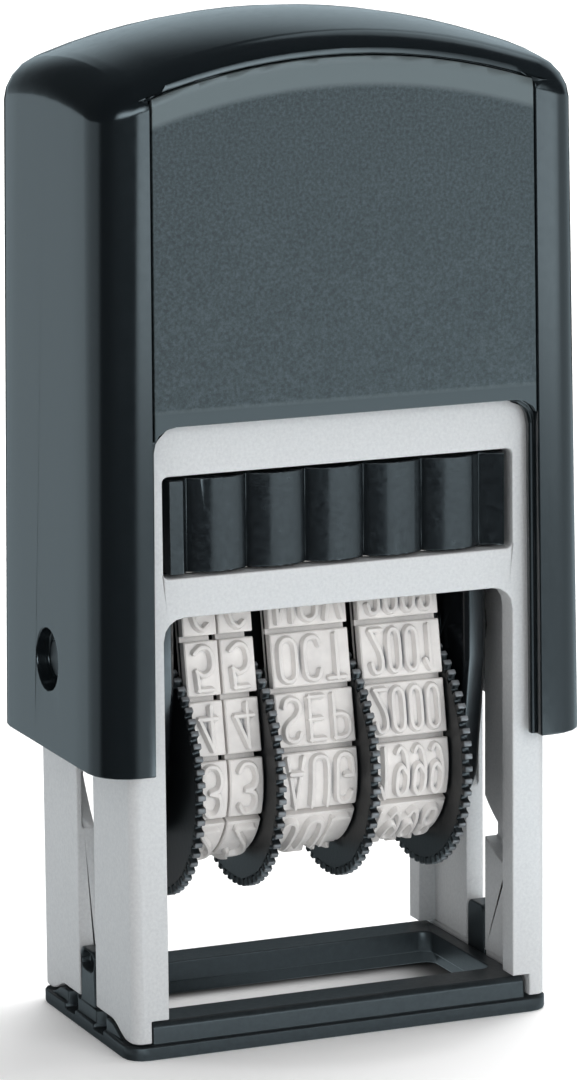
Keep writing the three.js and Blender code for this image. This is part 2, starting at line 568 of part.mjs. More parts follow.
// Closed body of the cap's shape: drafted walls, a domed crown and a rounded edge round it.
function makeHood(size) {
  const drop = (radius, offset) => radius - Math.sqrt(radius ** 2 - offset ** 2);
  const crown = (x, y) => size.peak - drop(size.crownRadius, x) - drop(size.domeRadius, y);
  const shoulder = crown(size.halfWidth, size.halfDepth);
  const rings = [hoodRing(size, 0, size.bottom, () => size.bottom)];
  for (let step = 0; step <= EDGE_STEPS; step++) {
    const turn = QUARTER_TURN * (step / EDGE_STEPS);
    const inset = size.edge * (1 - Math.cos(turn));
    rings.push(hoodRing(size, inset, shoulder, (x, y) => crown(x, y) - size.edge * (1 - Math.sin(turn))));
  }
  const count = rings[0].length;
  const columns = count / 2 - DOME_STEPS + 1;
  const points = rings.flat();
  const index = [];
  const quad = (a, b, c, d) => index.push(a, b, c, a, c, d);
  for (let ring = 0; ring + 1 < rings.length; ring++) {
    const low = ring * count;
    const high = low + count;
    for (let point = 0; point < count; point++) {
      const next = (point + 1) % count;
      quad(low + point, low + next, high + next, high + point);
    }
  }
  // Close a ring with a grid: its columns run from the front chain to the back chain.
  const close = (ring, heightAt, facesUp) => {
    const start = ring * count;
    const grid = [];
    for (let column = 0; column < columns; column++) {
      const near = start + column;
      const far = start + count / 2 + columns - 1 - column;
      const line = [near];
      for (let row = 1; row < DOME_STEPS; row++) {
        if (column === 0) {
          line.push(start + count - row);
        } else if (column === columns - 1) {
          line.push(start + columns - 1 + row);
        } else {
          const spot = points[near].clone().lerp(points[far], row / DOME_STEPS);
          line.push(points.push(spot.setZ(heightAt(spot.x, spot.y))) - 1);
        }
      }
      grid.push([...line, far]);
    }
    for (let column = 0; column + 1 < columns; column++) {
      for (let row = 0; row < DOME_STEPS; row++) {
        const [a, b] = [grid[column][row], grid[column + 1][row]];
        const [d, c] = [grid[column][row + 1], grid[column + 1][row + 1]];
        if (facesUp) quad(a, b, c, d);
        else quad(a, d, c, b);
      }
    }
  };
  close(0, () => size.bottom, false);
  close(rings.length - 1, crown, true);
  const geometry = new THREE.BufferGeometry();
  geometry.setAttribute('position', new THREE.Float32BufferAttribute(points.flatMap((p) => p.toArray()), 3));
  geometry.setIndex(index);
  return solidOf(geometry);
}

const hoodOuter = {
  halfWidth: CAP_HALF_WIDTH,
  halfDepth: CAP_HALF_DEPTH,
  bottom: CAP_BOTTOM,
  peak: CAP_PEAK,
  crownRadius: CAP_CROWN_RADIUS,
  domeRadius: CAP_DOME_RADIUS,
  corner: CAP_CORNER,
  edge: CAP_EDGE,
  sideDraft: CAP_SIDE_DRAFT,
  faceDraft: CAP_FACE_DRAFT,
};

const hoodInner = {
  halfWidth: CAP_HALF_WIDTH - CAP_SIDE_WALL,
  halfDepth: CAP_HALF_DEPTH - CAP_FACE_WALL,
  bottom: 0,
  peak: CAP_CEILING_Z,
  crownRadius: CAP_CROWN_RADIUS - CAP_CEILING,
  domeRadius: CAP_DOME_RADIUS - CAP_CEILING,
  corner: CAP_INNER_CORNER,
  edge: CAP_INNER_EDGE,
  sideDraft: CAP_INNER_DRAFT,
  faceDraft: CAP_INNER_DRAFT,
};

// Half-width of the door, and of the panel over it, at a height: their sides lean in.
const doorHalf = (z) => FRAME_HALF_WIDTH - DOOR_SIDE - (z - CAP_BOTTOM) * Math.tan(DOOR_LEAN);

// Opening between the columns with rounded upper corners. The margin narrows it, and lift raises
// its top.
function doorOutline(margin, lift) {
  const below = CAP_BOTTOM - CUT_OVERRUN;
  const bottomHalf = doorHalf(below) - margin;
  const centreZ = DOOR_TOP + lift - DOOR_ROUND;
  const centreX = doorHalf(centreZ) - margin - DOOR_ROUND;
  return [
    new THREE.Vector2(-bottomHalf, below),
    new THREE.Vector2(bottomHalf, below),
    ...arc(centreX, centreZ, DOOR_ROUND, 0, QUARTER_TURN, FILLET_STEPS),
    ...arc(-centreX, centreZ, DOOR_ROUND, QUARTER_TURN, HALF_TURN, FILLET_STEPS),
  ];
}

// Outline of a label panel down to the start of the door's rounded corners, with an arched top.
function panelOutline(seam) {
  const drop = (radius, offset) => radius - Math.sqrt(radius ** 2 - offset ** 2);
  const peak = CAP_PEAK - PANEL_TOP_DROP - seam;
  const foot = DOOR_TOP - DOOR_ROUND;
  const footHalf = doorHalf(foot) - seam;
  const topHalf = doorHalf(peak - drop(CAP_CROWN_RADIUS, footHalf)) - seam;
  const arch = [];
  for (let step = 0; step <= PANEL_ARCH_STEPS; step++) {
    const x = topHalf - 2 * topHalf * (step / PANEL_ARCH_STEPS);
    arch.push(new THREE.Vector2(x, peak - drop(CAP_CROWN_RADIUS, x)));
  }
  return [new THREE.Vector2(-footHalf, foot), new THREE.Vector2(footHalf, foot), ...arch];
}

function makeCap() {
  const past = CAP_HALF_DEPTH + CUT_OVERRUN;
  const boss = roundedBox(
    -PIVOT_BOSS_HALF, PIVOT_Z - PIVOT_BOSS_DROP, PIVOT_BOSS_HALF, PIVOT_Z + PIVOT_BOSS_RISE, ROOT_OVERLAP,
  );
  const bossRoot = CAP_HALF_WIDTH - CAP_SIDE_WALL + ROOT_OVERLAP;
  const post = circle(0, 0, CAP_POST_RADIUS);
  let cap = joined(
    makeHood(hoodOuter).subtract(makeHood(hoodInner)),
    alongXBothSides(boss, PIVOT_BOSS_FACE, bossRoot),
    alongZ(post, CAP_CEILING_Z - CAP_POST_LENGTH, CAP_CEILING_Z + ROOT_OVERLAP),
  );
  cap = cap.subtract(alongY(doorOutline(REBATE_WIDTH, 0), -past, past));
  const rebateFloor = CAP_HALF_DEPTH - REBATE_DEPTH;
  cap = cap.subtract(alongY(doorOutline(0, 0), -past, -rebateFloor));
  cap = cap.subtract(alongY(doorOutline(0, 0), rebateFloor, past));
  const recessFloor = makeHood({ ...hoodOuter, halfDepth: CAP_HALF_DEPTH - PANEL_THICKNESS - PANEL_BACK_GAP });
  const recess = alongY(panelOutline(0), -past, past).subtract(recessFloor);
  cap = cap.subtract(recess);
  const eyeFloor = CAP_HALF_WIDTH - PIVOT_EYE_DEPTH;
  const bore = circle(0, PIVOT_Z, PIVOT_RADIUS + RUN_GAP);
  cap = cap.subtract(alongXBothSides(bore, FRAME_HALF_WIDTH, CAP_HALF_WIDTH + CUT_OVERRUN));
  const eye = circle(0, PIVOT_Z, PIVOT_EYE_RADIUS);
  return cap.subtract(alongXBothSides(eye, eyeFloor, CAP_HALF_WIDTH + CUT_OVERRUN));
}

function makePanel(side) {
  const past = CAP_HALF_DEPTH + CUT_OVERRUN;
  const core = makeHood({ ...hoodOuter, halfDepth: CAP_HALF_DEPTH - PANEL_THICKNESS });
  const [from, to] = sideSpan(side, 0, past);
  return alongY(panelOutline(PANEL_SEAM), from, to)
    .intersect(makeHood(hoodOuter))
    .subtract(core)
    .subtract(alongY(doorOutline(-PANEL_SEAM, PANEL_SEAM), -past, past));
}

// The closed path of a date band seen from the side, offset outwards from the belt's outer face.
class BandPath {
  constructor() {
    this.noseY = BAND_NOSE_HALF - BAND_NOSE_ROUND;
    this.noseZ = BELT_TOP - BAND_NOSE_ROUND;
    const rise = this.noseZ - WHEEL_Z;
    const span = Math.hypot(this.noseY, rise);
    const spread = Math.asin((BAND_DRUM_RADIUS - BAND_NOSE_ROUND) / span);
    this.lean = spread - Math.atan2(this.noseY, rise);
    this.run = span * Math.cos(spread);
    this.noseTurn = QUARTER_TURN - this.lean;
    this.half = this.noseY + BAND_NOSE_ROUND * this.noseTurn + this.run
      + BAND_DRUM_RADIUS * (QUARTER_TURN + this.lean);
    this.pitch = 2 * this.half / BAND_ROWS;
  }

  // Point at a distance along the belt from the middle of its top, the front half being positive.
  at(distance, out) {
    const side = distance < 0 ? 1 : -1;
    let left = Math.abs(distance);
    const point = (y, z) => new THREE.Vector2(side * y, z);
    if (left <= this.noseY) return point(left, BELT_TOP + out);
    left -= this.noseY;
    const noseArc = BAND_NOSE_ROUND * this.noseTurn;
    if (left <= noseArc) {
      const angle = QUARTER_TURN - left / BAND_NOSE_ROUND;
      const radius = BAND_NOSE_ROUND + out;
      return point(this.noseY + radius * Math.cos(angle), this.noseZ + radius * Math.sin(angle));
    }
    left -= noseArc;
    if (left <= this.run) {
      const radius = BAND_NOSE_ROUND + out;
      return point(
        this.noseY + radius * Math.cos(this.lean) + left * Math.sin(this.lean),
        this.noseZ + radius * Math.sin(this.lean) - left * Math.cos(this.lean),
      );
    }
    const angle = this.lean - (left - this.run) / BAND_DRUM_RADIUS;
    const radius = BAND_DRUM_RADIUS + out;
    return point(radius * Math.cos(angle), WHEEL_Z + radius * Math.sin(angle));
  }

  // Distances at which the stretch from start to end needs a point: its ends, and steps on bends.
  stops(start, end) {
    const straightEnd = this.noseY + BAND_NOSE_ROUND * this.noseTurn + this.run;
    const straightStart = straightEnd - this.run;
    const flat = (value) => Math.abs(value) >= straightStart && Math.abs(value) <= straightEnd;
    const steps = flat(start) && flat(end) ? 1 : BAND_TURN_STEPS;
    return Array.from({ length: steps + 1 }, (unused, step) => start + (end - start) * (step / steps));
  }
}

const bandPath = new BandPath();

// Centre of a row's pad along the band, row 0 being the one that prints.
function rowCentre(row) {
  const wrapped = row > BAND_ROWS / 2 ? row - BAND_ROWS : row;
  return wrapped * bandPath.pitch;
}

function makeBand(unit) {
  const ring = (out) => {
    const points = [];
    for (let row = 0; row < BAND_ROWS; row++) {
      const start = (row - BAND_ROWS / 2) * bandPath.pitch;
      const stops = bandPath.stops(start, start + bandPath.pitch);
      points.push(...stops.slice(0, -1).map((stop) => bandPath.at(stop, out)));
    }
    return points;
  };
  const belt = alongX(ring(0), unit.from, unit.to - unit.inset)
    .subtract(alongX(ring(-BELT_THICKNESS), unit.from - CUT_OVERRUN, unit.to + CUT_OVERRUN));
  const pads = [];
  for (let row = 0; row < BAND_ROWS; row++) {
    const half = (bandPath.pitch - PAD_SPACING) / 2;
    const centre = rowCentre(row);
    const stops = bandPath.stops(centre - half, centre + half);
    const outside = stops.map((stop) => bandPath.at(stop, PAD_THICKNESS));
    const inside = stops.map((stop) => bandPath.at(stop, -BELT_THICKNESS / 2)).reverse();
    pads.push(alongX([...outside, ...inside], unit.from, unit.to));
  }
  return joined(belt, ...pads);
}

function toothedOutline() {
  const points = [];
  const pitch = FULL_TURN / WHEEL_TEETH;
  const at = (angle, radius) => new THREE.Vector2(radius * Math.cos(angle), WHEEL_Z + radius * Math.sin(angle));
  for (let tooth = 0; tooth < WHEEL_TEETH; tooth++) {
    const middle = tooth * pitch;
    const root = pitch * TOOTH_ROOT_SHARE / 2;
    const tip = pitch * TOOTH_TIP_SHARE / 2;
    points.push(at(middle - root, WHEEL_RADIUS - TOOTH_DEPTH));
    points.push(at(middle - tip, WHEEL_RADIUS));
    points.push(at(middle + tip, WHEEL_RADIUS));
    points.push(at(middle + root, WHEEL_RADIUS - TOOTH_DEPTH));
  }
  return points;
}

// Where a wheel's toothed rim stands beside its band.
function rimSpan(unit) {
  const near = unit.side < 0 ? unit.from - BAND_WHEEL_GAP : unit.to + BAND_WHEEL_GAP;
  const far = near + unit.side * WHEEL_THICKNESS;
  return [Math.min(near, far), Math.max(near, far)];
}

function makeWheel(unit) {
  const [left, right] = rimSpan(unit);
  const rim = alongX(toothedOutline(), left, right);
  const drumRadius = BAND_DRUM_RADIUS - BELT_THICKNESS - RUN_GAP;
  const drumOutline = circle(0, WHEEL_Z, drumRadius, DRUM_SIDES);
  const drum = alongX(drumOutline, Math.min(unit.from, left), Math.max(unit.to, right));
  const bore = circle(0, WHEEL_Z, AXLE_RADIUS + RUN_GAP);
  const past = CHEEK_OUTER;
  return joined(rim, drum).subtract(alongX(bore, -past, past));
}

function tenonOutline(margin) {
  const bottom = PIVOT_Z + TENON_RISE;
  return roundedBox(-TENON_HALF - margin, bottom - margin, TENON_HALF + margin, bottom + TENON_HEIGHT + margin, 0);
}

function makeCheek(side) {
  const top = PRINT_Z - CHEEK_TOP_DROP;
  const shoulder = top - CHEEK_SHOULDER_DROP;
  const outline = [
    new THREE.Vector2(CHEEK_BLOCK_HALF, PIVOT_Z - CHEEK_BLOCK_DROP),
    new THREE.Vector2(CHEEK_BLOCK_HALF, shoulder),
    new THREE.Vector2(CHEEK_TOP_HALF, top),
    new THREE.Vector2(-CHEEK_TOP_HALF, top),
    new THREE.Vector2(-CHEEK_BLOCK_HALF, shoulder),
    new THREE.Vector2(-CHEEK_BLOCK_HALF, PIVOT_Z - CHEEK_BLOCK_DROP),
    ...arc(0, WHEEL_Z, CHEEK_ROUND, HALF_TURN + CHEEK_TAPER, FULL_TURN - CHEEK_TAPER, ROUND_SIDES),
  ];
  const arm = [
    ...arc(GUIDE_ARM, PIVOT_Z, ARM_GUIDE_ROUND, -QUARTER_TURN, QUARTER_TURN, FILLET_STEPS * 2),
    ...arc(0, PIVOT_Z, ARM_PIVOT_ROUND, QUARTER_TURN, HALF_TURN + QUARTER_TURN, FILLET_STEPS * 2),
  ];
  const span = (near, far) => sideSpan(side, near, far);
  let cheek = alongX(outline, ...span(CHEEK_INNER, CHEEK_OUTER), CHEEK_EDGE);
  cheek = cheek.add(alongX(arm, ...span(CHEEK_OUTER - ROOT_OVERLAP, ARM_OUTER)));
  const hole = (y, z, radius) => alongX(circle(y, z, radius + PRESS_GAP), ...span(CHEEK_INNER - CUT_OVERRUN, ARM_OUTER + CUT_OVERRUN));
  const mortise = tenonOutline(PRESS_GAP);
  const mortiseDepth = CHEEK_INNER - RUN_GAP + TENON_LENGTH + PRESS_GAP;
  return cheek
    .subtract(hole(0, PIVOT_Z, PIVOT_RADIUS))
    .subtract(hole(0, WHEEL_Z, AXLE_RADIUS))
    .subtract(hole(GUIDE_ARM, PIVOT_Z, GUIDE_RADIUS))
    .subtract(alongX(mortise, ...span(CHEEK_INNER - CUT_OVERRUN, mortiseDepth)));
}

function makeBridge() {
  const top = BELT_TOP - BELT_THICKNESS - CUSHION_THICKNESS - 2 * REST_GAP;
  const noseBottom = top - BRIDGE_NOSE_DEPTH;
  const half = [
    new THREE.Vector2(BRIDGE_WEB_HALF, PIVOT_Z - BRIDGE_DROP),
    new THREE.Vector2(BRIDGE_WEB_HALF, noseBottom - BRIDGE_HAUNCH),
    new THREE.Vector2(BRIDGE_NOSE_HALF, noseBottom),
    new THREE.Vector2(BRIDGE_TOP_HALF, top),
  ];
  const mirrored = half.map((point) => new THREE.Vector2(-point.x, point.y)).reverse();
  const reach = CHEEK_INNER - RUN_GAP;
  let bridge = joined(
    alongX([...half, ...mirrored], -reach, reach),
    alongX(tenonOutline(0), -reach - TENON_LENGTH, reach + TENON_LENGTH),
  );
  const wheelRoom = circle(0, WHEEL_Z, WHEEL_RADIUS + RUN_GAP, DRUM_SIDES);
  for (const unit of DATE_UNITS) {
    const [left, right] = rimSpan(unit);
    bridge = bridge.subtract(alongX(wheelRoom, left - RUN_GAP, right + RUN_GAP));
  }
  return bridge;
}

function makeCushion() {
  const first = DATE_UNITS[0];
  const last = DATE_UNITS[DATE_UNITS.length - 1];
  const top = BELT_TOP - BELT_THICKNESS - REST_GAP;
  const outline = roundedBox(-CUSHION_HALF_DEPTH, top - CUSHION_THICKNESS, CUSHION_HALF_DEPTH, top, 0);
  return alongX(outline, first.from, last.to);
}

function makeSpring() {
  const bottom = FRAME_TOP + REST_GAP + SPRING_WIRE_RADIUS;
  const sag = CAP_CROWN_RADIUS - Math.sqrt(CAP_CROWN_RADIUS ** 2 - SPRING_COIL_RADIUS ** 2);
  const top = CAP_CEILING_Z - sag - REST_GAP - 2 * SPRING_WIRE_RADIUS;
  const steps = SPRING_TURNS * SPRING_STEPS_PER_TURN;
  const positions = [];
  const index = [];
  const centres = [];
  for (let step = 0; step <= steps; step++) {
    const angle = FULL_TURN * (step / SPRING_STEPS_PER_TURN);
    const z = bottom + (top - bottom) * (step / steps);
    centres.push(new THREE.Vector3(SPRING_COIL_RADIUS * Math.cos(angle), SPRING_COIL_RADIUS * Math.sin(angle), z));
    for (let side = 0; side < SPRING_WIRE_SIDES; side++) {
      const around = FULL_TURN * (side / SPRING_WIRE_SIDES);
      const radius = SPRING_COIL_RADIUS + SPRING_WIRE_RADIUS * Math.cos(around);
      positions.push(radius * Math.cos(angle), radius * Math.sin(angle), z + SPRING_WIRE_RADIUS * Math.sin(around));
    }
  }
  const ring = (step, side) => step * SPRING_WIRE_SIDES + (side % SPRING_WIRE_SIDES);
  for (let step = 0; step < steps; step++) {
    for (let side = 0; side < SPRING_WIRE_SIDES; side++) {
      index.push(ring(step, side), ring(step + 1, side + 1), ring(step, side + 1));
      index.push(ring(step, side), ring(step + 1, side), ring(step + 1, side + 1));
    }
  }
  for (let side = 1; side + 1 < SPRING_WIRE_SIDES; side++) {
    index.push(ring(0, 0), ring(0, side), ring(0, side + 1));
    index.push(ring(steps, 0), ring(steps, side + 1), ring(steps, side));
  }
  let least = Infinity;
  centres.forEach((point, here) => {
    centres.slice(here + SPRING_STEPS_PER_TURN / 2).forEach((other) => {
      least = Math.min(least, point.distanceTo(other) - 2 * SPRING_WIRE_RADIUS);
    });
  });
  console.log(`return spring: least gap between its turns ${least.toFixed(2)} mm`);
  const geometry = new THREE.BufferGeometry();
  geometry.setAttribute('position', new THREE.Float32BufferAttribute(positions, 3));
  geometry.setIndex(index);
  geometry.computeVertexNormals();
  return geometry;
}

addPiece('base_frame', makeFoot(), finishes.satinBlack);
addPiece('lower_frame', makeFrame(), finishes.silver);
addPiece('ink_cartridge', makeTray(), finishes.satinBlack);
addPiece('ink_pad', makeFelt(), finishes.inkFelt);
addPiece('return_spring', makeSpring(), finishes.steel);
addPiece('cap_shell', makeCap(), finishes.glossBlack);
addPiece('front_panel', makePanel(-1), finishes.grainedPanel);
addPiece('rear_panel', makePanel(1), finishes.grainedPanel);
addPiece('carriage_bridge', makeBridge(), finishes.satinBlack);
addPiece('platen_cushion', makeCushion(), finishes.cushionRubber);
addPiece('wheel_axle', alongX(circle(0, WHEEL_Z, AXLE_RADIUS), -CHEEK_OUTER, CHEEK_OUTER), finishes.steel);

for (const [name, side] of [['left', -1], ['right', 1]]) {
  addPiece(`${name}_cheek`, makeCheek(side), finishes.satinBlack);
  const pivotSpan = sideSpan(side, CHEEK_INNER, CAP_HALF_WIDTH - PIVOT_EYE_DEPTH + RUN_GAP);
  addPiece(`${name}_pivot_pin`, alongX(circle(0, PIVOT_Z, PIVOT_RADIUS), ...pivotSpan), finishes.satinBlack);
  const guideSpan = sideSpan(side, CHEEK_INNER, FRAME_INNER_X + TRACK_DEPTH - RUN_GAP);
  addPiece(`${name}_guide_pin`, alongX(circle(GUIDE_ARM, PIVOT_Z, GUIDE_RADIUS), ...guideSpan), finishes.satinBlack);
}

for (const unit of DATE_UNITS) {
  addPiece(`${unit.name}_band`, makeBand(unit), finishes.ivoryRubber);
  addPiece(`${unit.name}_wheel`, makeWheel(unit), finishes.wheelBlack);
}

export default stamp;
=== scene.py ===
"""Dresses the CAD of a self-inking date stamp: mouldings, type on the bands, finishes and studio.

Sizes in the classes are millimetres and angles are degrees, unless a name says otherwise. X runs
along the date line, -Y is the front and +Z is up, as in the CAD.
"""

import logging
import math
from dataclasses import dataclass, field
from enum import Enum
from typing import Callable, Iterable, Sequence

import bmesh
import bpy
from mathutils import Matrix, Vector


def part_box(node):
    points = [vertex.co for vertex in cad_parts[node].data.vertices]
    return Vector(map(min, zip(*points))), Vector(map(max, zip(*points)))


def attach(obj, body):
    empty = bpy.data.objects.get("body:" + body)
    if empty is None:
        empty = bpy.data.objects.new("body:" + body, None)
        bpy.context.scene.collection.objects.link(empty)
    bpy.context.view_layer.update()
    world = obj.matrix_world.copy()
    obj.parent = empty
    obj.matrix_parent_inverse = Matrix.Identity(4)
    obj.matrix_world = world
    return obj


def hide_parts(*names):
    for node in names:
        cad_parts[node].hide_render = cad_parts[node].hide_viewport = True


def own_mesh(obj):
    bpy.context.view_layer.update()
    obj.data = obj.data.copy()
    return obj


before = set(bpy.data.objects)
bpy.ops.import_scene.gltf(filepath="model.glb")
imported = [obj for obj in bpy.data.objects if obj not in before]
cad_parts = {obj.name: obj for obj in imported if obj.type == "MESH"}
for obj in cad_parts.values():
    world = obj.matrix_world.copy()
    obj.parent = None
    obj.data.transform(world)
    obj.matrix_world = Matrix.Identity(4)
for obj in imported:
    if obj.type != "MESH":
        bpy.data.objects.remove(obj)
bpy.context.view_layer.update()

LOG = logging.getLogger("date_stamp")
MM = 0.001

Span = tuple[float, float]
Point = tuple[float, float, float]


# Colours and shader values


def linear(colour: str) -> tuple[float, float, float, float]:
    """Turn an sRGB hex colour into linear light.

    Args:
        colour: Six hex digits after a hash sign.

    Returns:
        Red, green, blue and an alpha of one.
    """
    parts = [int(colour[i : i + 2], 16) / 255 for i in (1, 3, 5)]
    bent = [c / 12.92 if c <= 0.04045 else ((c + 0.055) / 1.055) ** 2.4 for c in parts]
    return (bent[0], bent[1], bent[2], 1.0)


def around(middle_mm: float, half_mm: float) -> Span:
    """Return the two ends, in metres, of a span either side of a middle."""
    return (middle_mm - half_mm) * MM, (middle_mm + half_mm) * MM


class Signal:
    """A value in a node tree, with which sums can be written."""

    def __init__(self, tree: bpy.types.NodeTree, socket: bpy.types.NodeSocket) -> None:
        """Keep the tree and the output socket that gives the value."""
        self.tree = tree
        self.socket = socket

    def __add__(self, other: "Signal | float") -> "Signal":
        """Add a value."""
        return worked(self.tree, "ADD", self, other)

    def __sub__(self, other: "Signal | float") -> "Signal":
        """Take a value away."""
        return worked(self.tree, "SUBTRACT", self, other)

    def __rsub__(self, other: float) -> "Signal":
        """Take this value away from a number."""
        return worked(self.tree, "SUBTRACT", other, self)

    def __mul__(self, other: "Signal | float") -> "Signal":
        """Multiply by a value."""
        return worked(self.tree, "MULTIPLY", self, other)

    def __truediv__(self, other: "Signal | float") -> "Signal":
        """Divide by a value."""
        return worked(self.tree, "DIVIDE", self, other)

    def into(self, entry: bpy.types.NodeSocket) -> None:
        """Join this value to an input socket."""
        self.tree.links.new(self.socket, entry)

    def axes(self) -> list["Signal"]:
        """Split a vector into X, Y and Z."""
        node = add_node(self.tree, "ShaderNodeSeparateXYZ", links={0: self})
        return [Signal(self.tree, socket) for socket in node.outputs]

    def mapped(self, span: Span, low: float = 0.0, high: float = 1.0, kind: str = "LINEAR") -> "Signal":
        """Map a span of this value to another one, held at both ends.

        Args:
            span: Start and end of the source range.
            low: Result at the start.
            high: Result at the end.
            kind: Blender's name of the curve between them.

        Returns:
            The result.
        """
        settings = {"interpolation_type": kind, "From Min": span[0], "From Max": span[1]}
        settings |= {"To Min": low, "To Max": high}
        node = add_node(self.tree, "ShaderNodeMapRange", settings, {"Value": self})
        return Signal(self.tree, node.outputs["Result"])

    def eased(self, span: Span, low: float = 0.0, high: float = 1.0) -> "Signal":
        """Map a span as mapped does, easing in and out."""
        return self.mapped(span, low, high, "SMOOTHSTEP")

    def tinted(self, stops: Sequence[tuple[float, str]]) -> "Signal":
        """Colour this value by a ramp.

        Args:
            stops: Positions and sRGB hex colours in rising order.

        Returns:
            The colour.
        """
        ramp = add_node(self.tree, "ShaderNodeValToRGB", links={"Fac": self})
        elements = ramp.color_ramp.elements
        while len(elements) < len(stops):
            elements.new(0.5)
        for element, (place, colour) in zip(elements, stops):
            element.position = place
            element.color = linear(colour)
        return Signal(self.tree, ramp.outputs["Color"])

    def mix(self, first: "Signal | str", second: "Signal | str") -> "Signal":
        """Mix two colours, this value being the share of the second.

        Args:
            first: A signal or an sRGB hex colour.
            second: A signal or an sRGB hex colour.

        Returns:
            The colour.
        """
        node = add_node(self.tree, "ShaderNodeMix", {"data_type": "RGBA"}, {0: self})
        for place, colour in ((6, first), (7, second)):
            if isinstance(colour, str):
                node.inputs[place].default_value = linear(colour)
            else:
                colour.into(node.inputs[place])
        return Signal(self.tree, node.outputs[2])

    def relief(self, depth_mm: float) -> "Signal":
        """Turn this height, from zero to one, into the normal of a pattern of a real depth."""
        node = add_node(self.tree, "ShaderNodeBump", {"Distance": depth_mm * MM}, {"Height": self})
        return Signal(self.tree, node.outputs["Normal"])

    def dress(
        self, shader: bpy.types.Node, stops: Sequence[tuple[float, str]], depth_mm: float
    ) -> None:
        """Colour and bump a shader by this one pattern.

        Args:
            shader: The principled shader.
            stops: Positions and sRGB hex colours in rising order.
            depth_mm: Real depth of the pattern.
        """
        self.tinted(stops).into(shader.inputs["Base Color"])
        self.relief(depth_mm).into(shader.inputs["Normal"])


def add_node(
    tree: bpy.types.NodeTree,
    kind: str,
    settings: dict[str | int, object] | None = None,
    links: dict[str | int, Signal | bpy.types.NodeSocket] | None = None,
) -> bpy.types.Node:
    """Add a node with its settings and links.

    Args:
        tree: The node tree that gets the node.
        kind: Blender's name for the node's class.
        settings: Values by property name or by input socket name or number.
        links: What to join to the named or numbered inputs.

    Returns:
        The new node.
    """
    node = tree.nodes.new(kind)
    for key, value in (settings or {}).items():
        if isinstance(key, str) and hasattr(node, key):
            setattr(node, key, value)
        else:
            node.inputs[key].default_value = value
    for key, source in (links or {}).items():
        tree.links.new(source.socket if isinstance(source, Signal) else source, node.inputs[key])
    return node


def worked(tree: bpy.types.NodeTree, operation: str, *values: Signal | float) -> Signal:
    """Do one sum on values or numbers.

    Args:
        tree: The node tree.
        operation: Blender's name of the sum.
        values: Its operands.

    Returns:
        The result.
    """
    node = add_node(tree, "ShaderNodeMath", {"operation": operation})
    for place, value in enumerate(values):
        if isinstance(value, Signal):
            value.into(node.inputs[place])
        else:
            node.inputs[place].default_value = value
    return Signal(tree, node.outputs[0])


def distance(x: Signal, y: Signal) -> Signal:
    """Return the length of a line that runs this far along two axes."""
    return worked(x.tree, "SQRT", x * x + y * y)


def new_material(name: str) -> tuple[bpy.types.Material, bpy.types.NodeTree, bpy.types.Node]:
    """Make a material with a principled shader joined to its output.

    Args:
        name: The material's name.

    Returns:
        The material, its node tree and the shader.
    """
    material = bpy.data.materials.new(name)
    material.use_nodes = True
    tree = material.node_tree
    return material, tree, tree.nodes["Principled BSDF"]


def object_place(tree: bpy.types.NodeTree) -> Signal:
    """Return a point's place on the object, in metres."""
    return Signal(tree, add_node(tree, "ShaderNodeTexCoord").outputs["Object"])


def grain(
    tree: bpy.types.NodeTree, size_mm: float, detail: float = 2.0, roughness: float = 0.5
) -> Signal:
    """Add noise whose features have a real size.

    Args:
        tree: The node tree.
        size_mm: Distance from one feature to the next.
        detail: Number of finer layers of noise.
        roughness: Weight of the finer layers.

    Returns:
        Values from zero to one.
    """
    settings = {"Scale": 1 / (size_mm * MM), "Detail": detail, "Roughness": roughness}
    noise = add_node(tree, "ShaderNodeTexNoise", settings, {"Vector": object_place(tree)})
    return Signal(tree, noise.outputs["Fac"])


# Finishes


@dataclass(frozen=True)
class PolishedAbs:
    """Black ABS from a polished mould: deep, glossy, with a faint waviness and fine rub marks."""

    name: str = "polished_black_abs"
    colour: str = "#14191c"
    roughness: float = 0.13
    rub_roughness: float = 0.07
    rub_mm: float = 0.7
    wave_mm: float = 9.0
    wave_depth_mm: float = 0.012

    def make(self) -> bpy.types.Material:
        """Build the material and return it."""
        material, tree, shader = new_material(self.name)
        shader.inputs["Base Color"].default_value = linear(self.colour)
        shader.inputs["IOR"].default_value = 1.52
        rub = grain(tree, self.rub_mm, 4.0, 0.7)
        rough = rub.mapped((0.35, 0.75), self.roughness, self.roughness + self.rub_roughness)
        rough.into(shader.inputs["Roughness"])
        grain(tree, self.wave_mm, 1.0).relief(self.wave_depth_mm).into(shader.inputs["Normal"])
        return material


